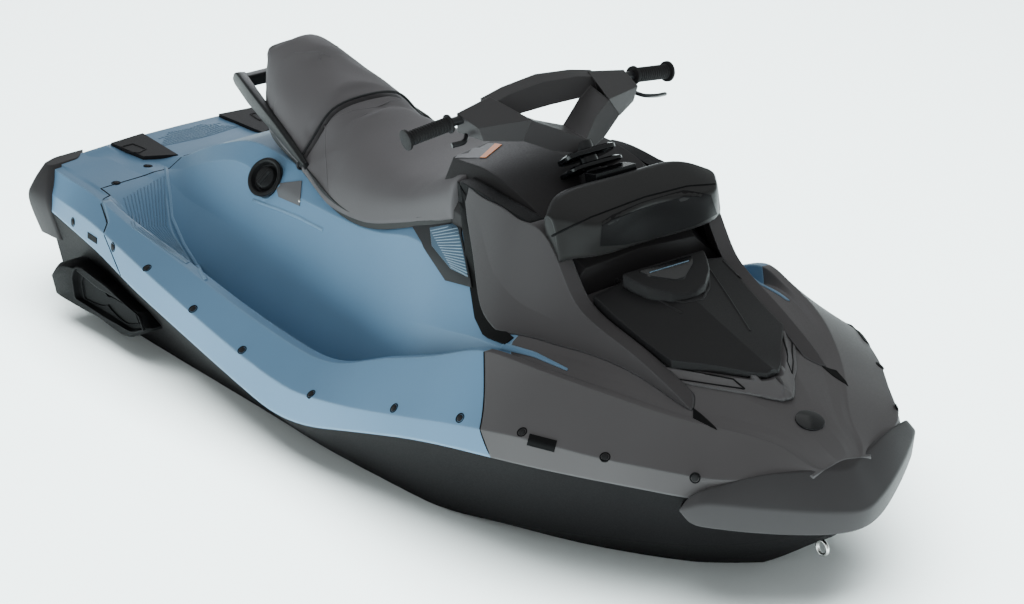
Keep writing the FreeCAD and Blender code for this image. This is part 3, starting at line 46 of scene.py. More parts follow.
PICTURE_WIDTH, PICTURE_HEIGHT = 1024, 604
target = Vector((0.1155, 0, 0.3333))
azimuth, elevation, distance = math.radians(52.42), math.radians(22.80), 9.554
level = math.cos(elevation)
back = Vector((math.sin(azimuth) * level, -math.cos(azimuth) * level, math.sin(elevation)))
turn = back.to_track_quat("Z", "Y")
camera = bpy.data.objects.new("camera", bpy.data.cameras.new("camera"))
camera.data.lens = LENS
camera.data.sensor_width = SENSOR
camera.location = target + back * distance
camera.rotation_euler = turn.to_euler()
bpy.context.scene.collection.objects.link(camera)
bpy.context.scene.camera = camera


def linear(code):
    """A linear colour from an sRGB hex value."""
    values = [int(code[i:i + 2], 16) / 255 for i in (1, 3, 5)]
    return [v / 12.92 if v <= 0.04045 else ((v + 0.055) / 1.055) ** 2.4 for v in values] + [1.0]


def add(mat, kind, values=None, links=None, **settings):
    """A shader node with its settings, its sockets' values and its links."""
    node = mat.node_tree.nodes.new(kind)
    for key, value in settings.items():
        setattr(node, key, value)
    for socket, value in (values or {}).items():
        node.inputs[socket].default_value = value
    for socket, source in (links or {}).items():
        mat.node_tree.links.new(source, node.inputs[socket])
    return node


def material(name, values):
    """A new material with its shader's own values."""
    mat = bpy.data.materials.new(name)
    mat.use_nodes = True
    mat.node_tree.nodes.clear()
    shader = add(mat, "ShaderNodeBsdfPrincipled", values)
    add(mat, "ShaderNodeOutputMaterial", links={"Surface": shader.outputs["BSDF"]})
    return mat, shader


def softbox(name, place, aim, size, power, tint):
    """A rectangular studio light."""
    light = bpy.data.lights.new(name, "AREA")
    light.shape = "RECTANGLE"
    light.size, light.size_y = size
    light.energy = power
    light.color = linear(tint)[:3]
    obj = bpy.data.objects.new(name, light)
    obj.location = place
    obj.rotation_euler = (Vector(place) - Vector(aim)).to_track_quat("Z", "Y").to_euler()
    bpy.context.scene.collection.objects.link(obj)
    return obj


COVE_TINT, COVE_STRENGTH = "#EEF5F5", 0.7
world = bpy.data.worlds.new("cove")
world.use_nodes = True
world.node_tree.nodes["Background"].inputs["Color"].default_value = linear(COVE_TINT)
world.node_tree.nodes["Background"].inputs["Strength"].default_value = COVE_STRENGTH
bpy.context.scene.world = world
softbox("overhead", place=(-0.8, 0.6, 4.2), aim=(0.1, 0, 0.3), size=(4.6, 3.2), power=22, tint="#FFFFFF")
softbox("stern_strip", place=(-4.2, 2.6, 2.6), aim=(0, 0, 0.4), size=(1.2, 3.4), power=60, tint="#F4F8FF")
softbox("bow_fill", place=(4.6, -3.6, 2.2), aim=(0.4, 0, 0.3), size=(2.4, 2.4), power=30, tint="#FFFFFF")

# Matt emulsion paint keeps the cove even and free of glints.
FLOOR_REACH = 60
SQUARE = [(-1, -1), (1, -1), (1, 1), (-1, 1)]
floor_mesh = bpy.data.meshes.new("floor")
floor_corners = [(x * FLOOR_REACH, y * FLOOR_REACH, 0) for x, y in SQUARE]
floor_mesh.from_pydata(floor_corners, [], [(0, 1, 2, 3)])
floor = bpy.data.objects.new("floor", floor_mesh)
bpy.context.scene.collection.objects.link(floor)
cove_paint = material("painted_cove", {"Base Color": linear(COVE_TINT), "Roughness": 0.9})[0]
floor_mesh.materials.append(cove_paint)

# A wash that falls on the floor alone keeps it as pale as the walls.
cove_only = bpy.data.collections.new("cove_only")
cove_only.objects.link(floor)
wash = softbox("floor_wash", place=(0, 0, 7), aim=(0, 0, 0), size=(9, 9), power=3500, tint="#F6FFFF")
wash.light_linking.receiver_collection = cove_only


# --- Hull: black polypropylene lower shell ---
# Compression moulded, so it is dull with a fine leather-like grain, and its round edges are painted a
# little paler as a highlight. The grain is drawn a few millimetres wide, coarser than the real one, so that
# it shows.
DRIFT_MM = 320


def moulded(name, colour, painted_highlight, roughness, edge_mm, grain_mm=4.0, grain_depth_mm=0.12, shine=0.3):
    """Textured thermoplastic: fine grain, slow drift of tone, and rounded edges painted paler as a
    highlight.
    """
    mat, shader = material(name, {"Roughness": roughness, "IOR": 1.49, "Specular IOR Level": shine})
    coords = add(mat, "ShaderNodeTexCoord").outputs["Object"]
    grain = add(mat, "ShaderNodeTexNoise", {"Scale": 1000 / grain_mm, "Detail": 3.0}, {"Vector": coords})
    drift = add(mat, "ShaderNodeTexNoise", {"Scale": 1000 / DRIFT_MM, "Detail": 2.0}, {"Vector": coords})
    edge = add(mat, "ShaderNodeBevel", {"Radius": edge_mm / 1000}, samples=4)
    flat = add(mat, "ShaderNodeNewGeometry")
    bend = add(mat, "ShaderNodeVectorMath", links={0: edge.outputs["Normal"], 1: flat.outputs["Normal"]},
               operation="DOT_PRODUCT")
    # Painted highlight: where the rounded edge bends the normal, the colour is mixed toward the paler one.
    edge_highlight_mask = add(mat, "ShaderNodeMapRange",
              {"From Min": 0.995, "From Max": 0.9, "To Min": 0.0, "To Max": 0.55},
              {"Value": bend.outputs["Value"]})
    shade = add(mat, "ShaderNodeMapRange",
                {"From Min": 0.3, "From Max": 0.7, "To Min": 0.96, "To Max": 1.04},
                {"Value": drift.outputs["Fac"]})
    body = add(mat, "ShaderNodeVectorMath", {0: linear(colour)[:3]}, {"Scale": shade.outputs["Result"]},
               operation="SCALE")
    # A colour mix takes its two colours at sockets 6 and 7.
    tone = add(mat, "ShaderNodeMix", {7: linear(painted_highlight)},
               {0: edge_highlight_mask.outputs["Result"], 6: body.outputs["Vector"]}, data_type="RGBA")
    gloss = add(mat, "ShaderNodeMapRange", {"From Min": 0.3, "From Max": 0.7, "To Min": roughness - 0.05,
                                            "To Max": roughness + 0.07}, {"Value": grain.outputs["Fac"]})
    bump = add(mat, "ShaderNodeBump", {"Strength": 0.5, "Distance": grain_depth_mm / 1000},
               {"Height": grain.outputs["Fac"], "Normal": edge.outputs["Normal"]})
    mat.node_tree.links.new(tone.outputs[2], shader.inputs["Base Color"])
    mat.node_tree.links.new(gloss.outputs["Result"], shader.inputs["Roughness"])
    mat.node_tree.links.new(bump.outputs["Normal"], shader.inputs["Normal"])
    return mat


def dress(mat, *names):
    """Gives CAD nodes a material."""
    for name in names:
        data = nodes[name].data
        data.materials.clear()
        data.materials.append(mat)


black_hull = moulded("grained_black_polypropylene", "#141314", "#242324", 0.6, 5.0, shine=0.04)
dress(black_hull, "hull")


# --- Jet drive: cast aluminium pump, nozzle and plates, stainless impeller, moulded gate ---
# The castings keep a soft sheen over a faint sand texture, and the engine's block is one of them. The
# impeller and the two eyes are polished, so they glint. The gate is satin black plastic.
def metal(name, colour, roughness, grain_mm, grain_depth_mm, edge_mm):
    """A metal with a fine surface texture and rounded edges."""
    mat, shader = material(name, {"Base Color": linear(colour), "Metallic": 1.0, "Roughness": roughness})
    coords = add(mat, "ShaderNodeTexCoord").outputs["Object"]
    grain = add(mat, "ShaderNodeTexNoise", {"Scale": 1000 / grain_mm, "Detail": 4.0}, {"Vector": coords})
    edge = add(mat, "ShaderNodeBevel", {"Radius": edge_mm / 1000}, samples=4)
    bump = add(mat, "ShaderNodeBump", {"Strength": 0.6, "Distance": grain_depth_mm / 1000},
               {"Height": grain.outputs["Fac"], "Normal": edge.outputs["Normal"]})
    gloss = add(mat, "ShaderNodeMapRange", {"To Min": roughness - 0.08, "To Max": roughness + 0.1},
                {"Value": grain.outputs["Fac"]})
    mat.node_tree.links.new(gloss.outputs["Result"], shader.inputs["Roughness"])
    mat.node_tree.links.new(bump.outputs["Normal"], shader.inputs["Normal"])
    return mat


cast_aluminium = metal("sand_cast_aluminium", "#8E9195", 0.5, 2.5, 0.2, 1.5)
stainless = metal("polished_stainless_steel", "#C9C9C6", 0.2, 1.5, 0.02, 0.8)
black_moulding = moulded("satin_black_polypropylene", "#131314", "#39393C", 0.42, 3.0, grain_mm=3.0,
                         shine=0.2)
dress(cast_aluminium, "pump_housing", "nozzle_brackets", "trim_ring", "steering_nozzle", "ride_plate",
      "intake_grate", "engine_block")
dress(stainless, "impeller", "tow_eye", "bow_eye")
dress(black_moulding, "reverse_gate")


# --- Deck: blue middle and stern mouldings, grey foredeck moulding ---
# Coloured through in the mould, with a satin face that shows soft, wide highlights. The three mouldings
# meet at open joints that read as dark lines, and push rivets hold their flange to the hull.
blue_moulding = moulded("blue_polypropylene", "#6082A0", "#9DBAD3", 0.5, 9.0, shine=0.2)
grey_moulding = moulded("grey_polypropylene", "#524F50", "#6A6A6C", 0.5, 7.0, shine=0.12)
# Joints are dark, and the shade in wells, slots, pockets and steps is painted into this near-black plastic,
# which hardly shines; rubber is dull and soft.
shadow_black = moulded("shadowed_polypropylene", "#0B0B0C", "#151516", 0.7, 1.0, shine=0.1)
rubber = moulded("soft_black_rubber", "#222122", "#343334", 0.62, 1.5, grain_mm=3.0, shine=0.1)
dress(blue_moulding, "deck_rear", "deck_mid")
dress(grey_moulding, "deck_front")


def skin_of(*names):
    """A ray casting tree over CAD nodes."""
    points, faces = [], []
    for name in names:
        data = nodes[name].data
        start = len(points)
        points += [v.co.copy() for v in data.vertices]
        faces += [[start + i for i in face.vertices] for face in data.polygons]
    return BVHTree.FromPolygons(points, faces)


def sight(px, py):
    """The direction of the line of sight through a point of the picture."""
    scale = SENSOR / LENS / PICTURE_WIDTH
    across, up = (px - PICTURE_WIDTH / 2) * scale, (PICTURE_HEIGHT / 2 - py) * scale
    return (turn @ Vector((across, up, -1))).normalized()


def seen(px, py, skin):
    """Where the line of sight through a point of the picture meets a skin, and the skin's normal."""
    ray = sight(px, py)
    place, normal = skin.ray_cast(camera.location, ray)[:2]
    if place is None:
        place, normal = skin.find_nearest(camera.location + ray * distance)[:2]
    return place, normal if normal.dot(ray) < 0 else -normal


def part_way(start, end, t):
    """A point a share of the way from one to another."""
    return tuple(a + (b - a) * t for a, b in zip(start, end))


def fanned(first, last, gaps):
    """Lines drawn in the picture, spread evenly from a first one to a last one."""
    return [[part_way(a, b, i / gaps) for a, b in zip(first, last)] for i in range(gaps + 1)]


def steps(pixels, pitch):
    """Evenly spaced points along a line drawn in the picture."""
    found = []
    for start, end in zip(pixels, pixels[1:]):
        count = max(1, round(math.dist(start, end) / pitch))
        found += [part_way(start, end, i / count) for i in range(count)]
    return found + [pixels[-1]]


def share_out(pixels, count):
    """A line drawn in the picture as a set number of even steps."""
    lengths = [math.dist(start, end) for start, end in zip(pixels, pixels[1:])]
    found = []
    for i in range(count + 1):
        left = sum(lengths) * i / count
        part = 0
        while part < len(lengths) - 1 and left > lengths[part]:
            left -= lengths[part]
            part += 1
        found.append(part_way(pixels[part], pixels[part + 1], left / lengths[part]))
    return found


def piece(name, shape, mat, body="craft", angle=35):
    """A mesh piece that rides on a body."""
    points, faces = shape
    mesh = bpy.data.meshes.new(name)
    mesh.from_pydata([tuple(point) for point in points], [], faces)
    mesh.validate()
    mesh.shade_smooth()
    mesh.set_sharp_from_angle(angle=math.radians(angle))
    mesh.materials.append(mat)
    obj = bpy.data.objects.new(name, mesh)
    bpy.context.scene.collection.objects.link(obj)
    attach(obj, body)
    return obj


def mirror(shape):
    """The same points and faces on the craft's other side."""
    points, faces = shape
    return [Vector((x, -y, z)) for x, y, z in points], [tuple(reversed(face)) for face in faces]


def pair(name, shape, mat):
    """A piece on the starboard side and its mirror image to port."""
    return piece(name + "_starboard", shape, mat), piece(name + "_port", mirror(shape), mat)


def lofted(rings):
    """Points and faces of a skin through rings of points, its two ends closed."""
    count = len(rings[0])
    faces = []
    for i in range(len(rings) - 1):
        for k in range(count):
            a, b = i * count + k, i * count + (k + 1) % count
            faces.append((a, b, b + count, a + count))
    last = (len(rings) - 1) * count
    ends = [tuple(reversed(range(count))), tuple(range(last, last + count))]
    return [point for ring in rings for point in ring], faces + ends


def tube(path, radius, sides=8, flatten=1.0, normals=None):
    """A round or flattened strip along a path."""
    path = [Vector(point) for point in path]
    angles = [2 * math.pi * k / sides for k in range(sides)]
    rings, normal = [], None
    for i, point in enumerate(path):
        along = (path[min(i + 1, len(path) - 1)] - path[max(i - 1, 0)]).normalized()
        normal = normals[i] if normals else normal or along.orthogonal().normalized()
        normal = (normal - along * normal.dot(along)).normalized()
        side = along.cross(normal)
        rings.append([point + (normal * math.cos(a) * flatten + side * math.sin(a)) * radius
                      for a in angles])
    return lofted(rings)


def bead(pixels, skin, radius, sunk=0.4, flatten=1.0, pitch=4):
    """A strip that lies on a skin under a line drawn in the picture."""
    spots = [seen(*pixel, skin) for pixel in steps(pixels, pitch)]
    path = [place - normal * radius * flatten * sunk for place, normal in spots]
    return tube(path, radius, 8, flatten, [normal for place, normal in spots])


def patch(far, near, skin, lift, rows=6, columns=16, root=0.003):
    """A thin cover on a skin between two lines drawn in the picture."""
    one, two = share_out(far, columns), share_out(near, columns)
    flat = [seen(*part_way(start, end, i / rows), skin)
            for i in range(rows + 1) for start, end in zip(one, two)]
    points = [p + n * lift for p, n in flat] + [p - n * root for p, n in flat]
    wide, below = columns + 1, len(flat)
    faces = []
    for i in range(rows):
        for j in range(columns):
            a = i * wide + j
            quad = (a, a + 1, a + wide + 1, a + wide)
            faces += [quad, tuple(below + k for k in reversed(quad))]
    rim = list(range(columns)) + [i * wide + columns for i in range(rows)]
    rim += [rows * wide + j for j in range(columns, 0, -1)] + [i * wide for i in range(rows, 0, -1)]
    for a, b in zip(rim, rim[1:] + rim[:1]):
        faces.append((b, a, below + a, below + b))
    first = (points[1] - points[0]).cross(points[wide] - points[0])
    if first.dot(flat[0][1]) < 0:
        faces = [tuple(reversed(face)) for face in faces]
    return points, faces


def joined(parts):
    """Several sets of points and faces as one."""
    points, faces = [], []
    for part_points, part_faces in parts:
        start = len(points)
        points += part_points
        faces += [tuple(start + i for i in face) for face in part_faces]
    return points, faces


def lathe(profile, centre, normal, sides=24):
    """A turned form: radius and height steps round a normal."""
    axis = Vector(normal).normalized()
    across = axis.orthogonal().normalized()
    other = axis.cross(across)
    angles = [2 * math.pi * k / sides for k in range(sides)]
    return lofted([[Vector(centre) + (across * math.cos(a) + other * math.sin(a)) * radius + axis * height
                    for a in angles] for radius, height in profile])


JOINT_RADIUS, JOINT_SUNK = 0.0022, 0.4
CAST_PITCH, CAST_REACH = 0.012, 2


def cast(runs, skin):
    """A thin strip where rays, cast along each run's own direction, meet a skin."""
    path, normals = [], []
    for aim, points in runs:
        aim = Vector(aim)
        for start, end in zip(points, points[1:]):
            start, end = Vector(start), Vector(end)
            count = max(1, round((end - start).length / CAST_PITCH))
            for i in range(count + 1):
                origin = start + (end - start) * i / count - aim * CAST_REACH
                place, normal = skin.ray_cast(origin, aim)[:2]
                if place is not None and (not path or (place - path[-1]).length > CAST_PITCH / 4):
                    normal = normal if normal.dot(aim) < 0 else -normal
                    path.append(place - normal * JOINT_RADIUS * JOINT_SUNK)
                    normals.append(normal)
    return tube(path, JOINT_RADIUS, normals=normals)


deck_skin = skin_of("deck_rear", "deck_mid", "deck_front")
FROM_SIDE, FROM_ABOVE = (0, 1, 0), (0, 0, -1)
FRONT_SPLIT = [(FROM_SIDE, [(0.7337, 0, 0.250), (0.7337, 0, 0.295), (0.5700, 0, 0.472)])]
REAR_SPLIT = [(FROM_SIDE, [(-0.7952, 0, 0.223), (-0.9598, 0, 0.3198), (-1.0440, 0, 0.3380)]),
              (FROM_ABOVE, [(-1.0600, -0.434, 0), (-1.0720, -0.4066, 0), (-1.1160, -0.4066, 0),
                            (-1.1160, -0.004, 0)])]
pair("joint_front", cast(FRONT_SPLIT, deck_skin), shadow_black)
pair("joint_rear", cast(REAR_SPLIT, deck_skin), shadow_black)

RIVETS = [(73, 222), (113, 247), (147, 268), (193, 309), (242, 350), (311, 394), (394, 408), (460, 418),
          (522, 432), (605, 457), (695, 478), (148, 166), (116, 183)]
WELL_PROFILE = [(0.0125, -0.003), (0.0125, 0.0006), (0.0108, 0.0012), (0.0092, -0.0002), (0.0015, -0.0006)]
HEAD_PROFILE = [(0.0084, -0.003), (0.0084, 0.0010), (0.0060, 0.0026), (0.0012, 0.0032)]
# Each rivet head sits in a well whose near-black colour is painted shade.
wells, heads = [], []
for pixel in RIVETS:
    place, normal = seen(*pixel, deck_skin)
    wells.append(lathe(WELL_PROFILE, place, normal))
    heads.append(lathe(HEAD_PROFILE, place, normal))
pair("rivet_well_shade", joined(wells), shadow_black)
pair("rivets", joined(heads), rubber)

# The flank's drawn line, the curved lip in front of the step and the step's fine ribs.
FLANK_LINE = [(253, 200), (275, 208), (300, 218), (323, 230)]
pair("flank_line", bead(FLANK_LINE, deck_skin, radius=0.006, sunk=0.55), blue_moulding)
OUTER_RIB, INNER_RIB = [(124, 198), (133, 228), (186, 264)], [(164, 176), (166, 226), (190, 262)]
ribs = [bead(line, deck_skin, radius=0.0018, sunk=0.2, pitch=6)
        for line in fanned(OUTER_RIB, INNER_RIB, gaps=12)]
pair("step_ribs", joined(ribs), blue_moulding)
STEP_LIP = [(166, 168), (170, 195), (172, 218), (184, 245), (206, 280)]
pair("step_lip", bead(STEP_LIP, deck_skin, radius=0.007, sunk=0.5), blue_moulding)
# A thin near-black sheet over the drain slot: painted shade.
drain_slot_shade = patch([(88, 232), (97, 238)], [(88, 238), (97, 244)], deck_skin, lift=0.0015, rows=3, columns=4)
pair("drain_slot_shade", drain_slot_shade, shadow_black)

# A thin blue edge of the middle moulding shows along the foredeck under the wing.
blue_edge = patch([(504, 343), (535, 352), (568, 369)], [(500, 349), (533, 357), (567, 371)], deck_skin,
                  lift=0.0018, rows=3, columns=16)
pair("blue_edge", blue_edge, blue_moulding)

# Raised tread on the boarding platform, coarser than the real one so that it shows.
TREAD_COLUMNS, TREAD_ROWS = 14, 8
TREAD_REAR, TREAD_FORE = [(160, 147), (202, 138)], [(168, 132), (222, 122)]
STUD_PROFILE = [(0.0055, -0.002), (0.0048, 0.0009), (0.002, 0.0011)]
studs = []
for i in range(TREAD_COLUMNS):
    for j in range(TREAD_ROWS):
        rear, fore = (part_way(*line, (i + 0.5) / TREAD_COLUMNS) for line in (TREAD_REAR, TREAD_FORE))
        place, normal = seen(*part_way(rear, fore, (j + 0.5) / TREAD_ROWS), deck_skin)
        studs.append(lathe(STUD_PROFILE, place, normal, sides=4))
pair("platform_tread", joined(studs), blue_moulding)

# Mooring recess and the pocket ahead of the wing's tip, both thin near-black sheets whose dark is painted
# shade, and a blank badge of glassy acrylic, whose sharp reflections set it off from the satin deck.
mooring_recess_shade = patch([(530, 434), (557, 441)], [(527, 445), (554, 452)], deck_skin, lift=0.0022,
                       rows=8, columns=4)
pair("mooring_recess_shade", mooring_recess_shade, shadow_black)
tip_pocket_shade = patch([(693, 408), (702, 415), (716, 428)], [(693, 418), (703, 423), (717, 430)], deck_skin,
                   lift=0.0015, rows=3, columns=8)
pair("tip_pocket_shade", tip_pocket_shade, shadow_black)
gloss_black = moulded("gloss_black_acrylic", "#0D0D0F", "#2A2A2D", 0.12, 2.0, grain_depth_mm=0.0)
badge_place, badge_normal = seen(811, 420, deck_skin)
badge_place.y = 0
badge_normal.y = 0
BADGE_PROFILE = [(0.034, -0.004), (0.034, 0.0012), (0.031, 0.0024), (0.004, 0.0026)]
piece("blank_badge", lathe(BADGE_PROFILE, badge_place, badge_normal, sides=40), gloss_black)


# --- Bumpers: thick black mouldings, screwed on over the flange ---
# Thermoplastic rubber with a satin face, so it is a shade paler than the hull. Each is drawn along the
# shell in sections with a ridge and a lip, their edges soft from the mould.
bumper_rubber = moulded("satin_thermoplastic_rubber", "#393738", "#464546", 0.5, 6.0, grain_mm=3.0,
                        shine=0.08)
LENGTH, HALF_BEAM, HEIGHT, DRAFT = 2.790, 0.585, 1.125, 0.155


def spot(x_share, y_share, z_share, side=1):
    """A point from shares of the length, of the half beam and of the height above the keel."""
    return Vector(((x_share - 0.5) * LENGTH, side * y_share * HALF_BEAM, z_share * HEIGHT - DRAFT))


def eased(rows, count):
    """Rows of numbers with a smooth curve through them, in count steps to each gap."""
    dense = []
    for i in range(len(rows) - 1):
        near = [rows[max(0, min(len(rows) - 1, k))] for k in (i - 1, i, i + 1, i + 2)]
        for step in range(count):
            t = step / count
            dense.append([b + (c - a) * t / 2 + (2 * a - 5 * b + 4 * c - d) * t ** 2 / 2
                          + (3 * b - a - 3 * c + d) * t ** 3 / 2 for a, b, c, d in zip(*near)])
    return dense + [list(rows[-1])]


EDGE_SHARE = 0.45


def rounded(corners, radius, count=3):
    """A closed outline with its corners rounded, as far as the edges beside each one allow."""
    outline = []
    for i, corner in enumerate(corners):
        edges = corners[i - 1] - corner, corners[(i + 1) % len(corners)] - corner
        start, end = (corner + edge.normalized() * min(radius, edge.length * EDGE_SHARE) for edge in edges)
        for k in range(count + 1):
            t = k / count
            outline.append(start * (1 - t) ** 2 + corner * 2 * t * (1 - t) + end * t * t)
    return outline


def stand_in(obj, node):
    """Lets a piece take a CAD node's place, hiding the node."""
    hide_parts(node)
    return obj


def stand_in_pair(pieces, node):
    """Lets a starboard and a port piece take the places of a pair of black CAD nodes."""
    for obj, side in zip(pieces, ("_starboard", "_port")):
        stand_in(obj, node + side)


# Row by row to the bow: ridge point, bearing, then reach inward and height of the top edge and the lip.
BUMPER_ROWS = [
    (0.9210, 0.600, 0.386, 48.4, 0.020, 0.389, 0.020, 0.382),
    (0.9280, 0.572, 0.395, 45.5, 0.190, 0.415, 0.055, 0.357),
    (0.9400, 0.520, 0.404, 40.6, 0.290, 0.431, 0.080, 0.348),
    (0.9660, 0.350, 0.392, 32.8, 0.490, 0.451, 0.120, 0.333),
    (0.9900, 0.150, 0.377, 24.8, 0.655, 0.445, 0.110, 0.323),
]
BUMPER_NOSE = (1.0, 0.0, 0.369, 0.0, 0.620, 0.441, 0.155, 0.321)
BUMPER_DEPTH, BUMPER_SINK, BUMPER_EDGE = 0.090, 0.045, 0.006
NOSE_RISE, NOSE_REACH_SHARE = 0.018, 0.35
rows = [(x, -y, z, -bearing, *rest) for x, y, z, bearing, *rest in BUMPER_ROWS] + [BUMPER_NOSE]
rows += list(reversed(BUMPER_ROWS))
rings = []
for x, y, ridge_z, bearing, top_share, top_z, lip_share, lip_z in eased(rows, count=8):
    bearing = math.radians(bearing)
    inward = Vector((-math.cos(bearing), -math.sin(bearing), 0)) * BUMPER_DEPTH
    top, lip = spot(x, y, top_z), spot(x, y, lip_z)
    spread = min(1, (y / NOSE_REACH_SHARE) ** 2)
    inner_rise = NOSE_RISE * (1 - spread) - BUMPER_SINK * spread
    rings.append(rounded([top + inward * top_share, spot(x, y, ridge_z), lip + inward * lip_share,
                          lip + inward, top + inward + Vector((0, 0, inner_rise))], BUMPER_EDGE))
stand_in(piece("bow_bumper_moulding", lofted(rings), bumper_rubber), "bow_bumper")

# Plans of a stern corner from the bottom up: height, then points from inside the shell to its back.
CORNER_LEVELS = [
    (0.292, [(0.012, 0.50), (0.008, 0.70), (0.020, 0.795), (0.054, 0.785), (0.054, 0.60)]),
    (0.372, [(0.002, 0.50), (0.000, 0.72), (0.010, 0.826), (0.046, 0.815), (0.046, 0.60)]),
    (0.412, [(0.002, 0.50), (0.002, 0.70), (0.011, 0.800), (0.038, 0.795), (0.038, 0.60)]),
    (0.452, [(0.004, 0.50), (0.006, 0.66), (0.014, 0.745), (0.024, 0.735), (0.020, 0.58)]),
]
levels = eased([[z] + [value for place in plan for value in place] for z, plan in CORNER_LEVELS], count=5)
rings = [rounded([spot(x, y, z, -1) for x, y in zip(plan[::2], plan[1::2])], radius=0.012)
         for z, *plan in levels]
stand_in_pair(pair("stern_corner_moulding", lofted(rings), bumper_rubber), "stern_corner")


# --- Side floats: hollow black mouldings low on the hull's sides ---
# Blow moulded, with a rim round the sunk panel of each and a second one inside it. The plastic is dull,
# so it shows little more than its edges.
float_black = moulded("grained_float_polypropylene", "#060607", "#1A1A1B", 0.6, 3.0, shine=0.06)
FLOAT_OUTLINE = [(49, 274), (55, 263), (69, 264), (140, 313), (149, 332), (126, 339), (54, 293)]
FLOAT_PANEL = [(74, 278), (76, 269), (84, 270), (138, 315), (143, 329), (131, 331), (77, 298)]
FLOAT_FACE, FLOAT_POINTS = -0.541, 56
# From the hull to the panel's middle: outline, how far it shrinks, and its depth behind the face.
FLOAT_STEPS = [(FLOAT_OUTLINE, 0, 0.155), (FLOAT_OUTLINE, 0, 0.014), (FLOAT_OUTLINE, 0.010, 0.002),
               (FLOAT_OUTLINE, 0.014, 0), (FLOAT_PANEL, -0.011, 0), (FLOAT_PANEL, -0.008, -0.004),
               (FLOAT_PANEL, -0.003, -0.004), (FLOAT_PANEL, 0.002, 0.005), (FLOAT_PANEL, 0.005, 0.009),
               (FLOAT_PANEL, 0.022, 0.009), (FLOAT_PANEL, 0.025, 0.005), (FLOAT_PANEL, 0.028, 0.005),
               (FLOAT_PANEL, 0.031, 0.009)]


def on_side(px, py, y):
    """Where the line of sight through a point of the picture crosses an upright plane along the craft."""
    ray = sight(px, py)
    return camera.location + ray * ((y - camera.location.y) / ray.y)


rings = []
for outline, inset, depth in FLOAT_STEPS:
    ring = [on_side(*pixel, FLOAT_FACE) for pixel in share_out(outline + outline[:1], FLOAT_POINTS)[:-1]]
    centre = sum(ring, Vector()) / len(ring)
    rings.append([point + (centre - point).normalized() * inset + Vector((0, depth, 0)) for point in ring])
stand_in_pair(pair("side_float", lofted(rings), float_black), "sponson")


# --- Traction pads: cut foam rubber stuck to the boarding platform ---
# Dull and soft, like the push rivets' heads, with an open loop embossed in each.
dress(rubber, "traction_pads")
pad_skin = skin_of("traction_pads")
PAD_LOOP = [(121, 147), (133, 144), (146, 149), (139, 153), (126, 152), (121, 147)]
pair("pad_loops", bead(PAD_LOOP, pad_skin, radius=0.003, sunk=0.2, pitch=3), rubber)


# --- Fuel cap: a screw cap in a dished well on the starboard flank ---
# Injection moulded in black nylon, whose satin face shows a broad, soft glint on each rim. A bar
# across it is the grip.
nylon = moulded("satin_black_nylon", "#1B1B1C", "#3A3A3C", 0.42, 1.5, grain_mm=3.0, shine=0.14)
cap_centre, cap_normal = spot(0.286, 0.405, 0.580, -1), Vector((0.18, -0.80, 0.57)).normalized()
CAP_PROFILE = [(0.0460, -0.0200), (0.0515, 0.0000), (0.0520, 0.0040), (0.0495, 0.0075), (0.0445, 0.0085),
               (0.0405, 0.0060), (0.0365, -0.0060), (0.0320, -0.0080), (0.0285, -0.0030),
               (0.0265, 0.0030), (0.0240, 0.0045), (0.0030, 0.0045)]
GRIP_LEAN, GRIP_REACH, GRIP_RISE = Vector((0.35, 0, 1)), 0.022, 0.004
cap_up = (GRIP_LEAN - cap_normal * cap_normal.dot(GRIP_LEAN)).normalized()
grip_bar = [cap_centre + cap_up * reach + cap_normal * GRIP_RISE for reach in (-GRIP_REACH, 0, GRIP_REACH)]
cap_shape = joined([lathe(CAP_PROFILE, cap_centre, cap_normal, sides=48),
                    tube(grip_bar, radius=0.0075, sides=12)])
stand_in(piece("fuel_cap_moulding", cap_shape, nylon), "fuel_cap")

# A blank plate of matt grey vinyl with one screw beside the cap.
plate_grey = moulded("printed_grey_vinyl", "#59585B", "#77777A", 0.5, 0.5, grain_mm=3.0)
deck_mid_skin = skin_of("deck_mid")
blank_plate = patch([(276, 184), (302, 181)], [(279, 197), (300, 206)], deck_mid_skin, lift=0.0022,
                    rows=6, columns=6)
pair("blank_plate", blank_plate, plate_grey)
SCREW_PROFILE = [(0.004, 0), (0.004, 0.0022), (0.0028, 0.0032), (0.0005, 0.0034)]
pair("plate_screw", lathe(SCREW_PROFILE, *seen(300, 201, deck_mid_skin), sides=12), stainless)


# --- Seat: two foam cushions in grey marine vinyl on a black moulded base ---
# Cut panels are sewn together and stapled under the base, and the foam swells each one, so its sides
# roll over the base's edge. The vinyl is matt with a fine grain; dark welting closes the seam.
vinyl = moulded("grained_marine_vinyl", "#5D5A5C", "#686568", 0.62, 2.0, grain_mm=3.5, grain_depth_mm=0.25,
                shine=0.15)
dress(black_moulding, "seat_base")
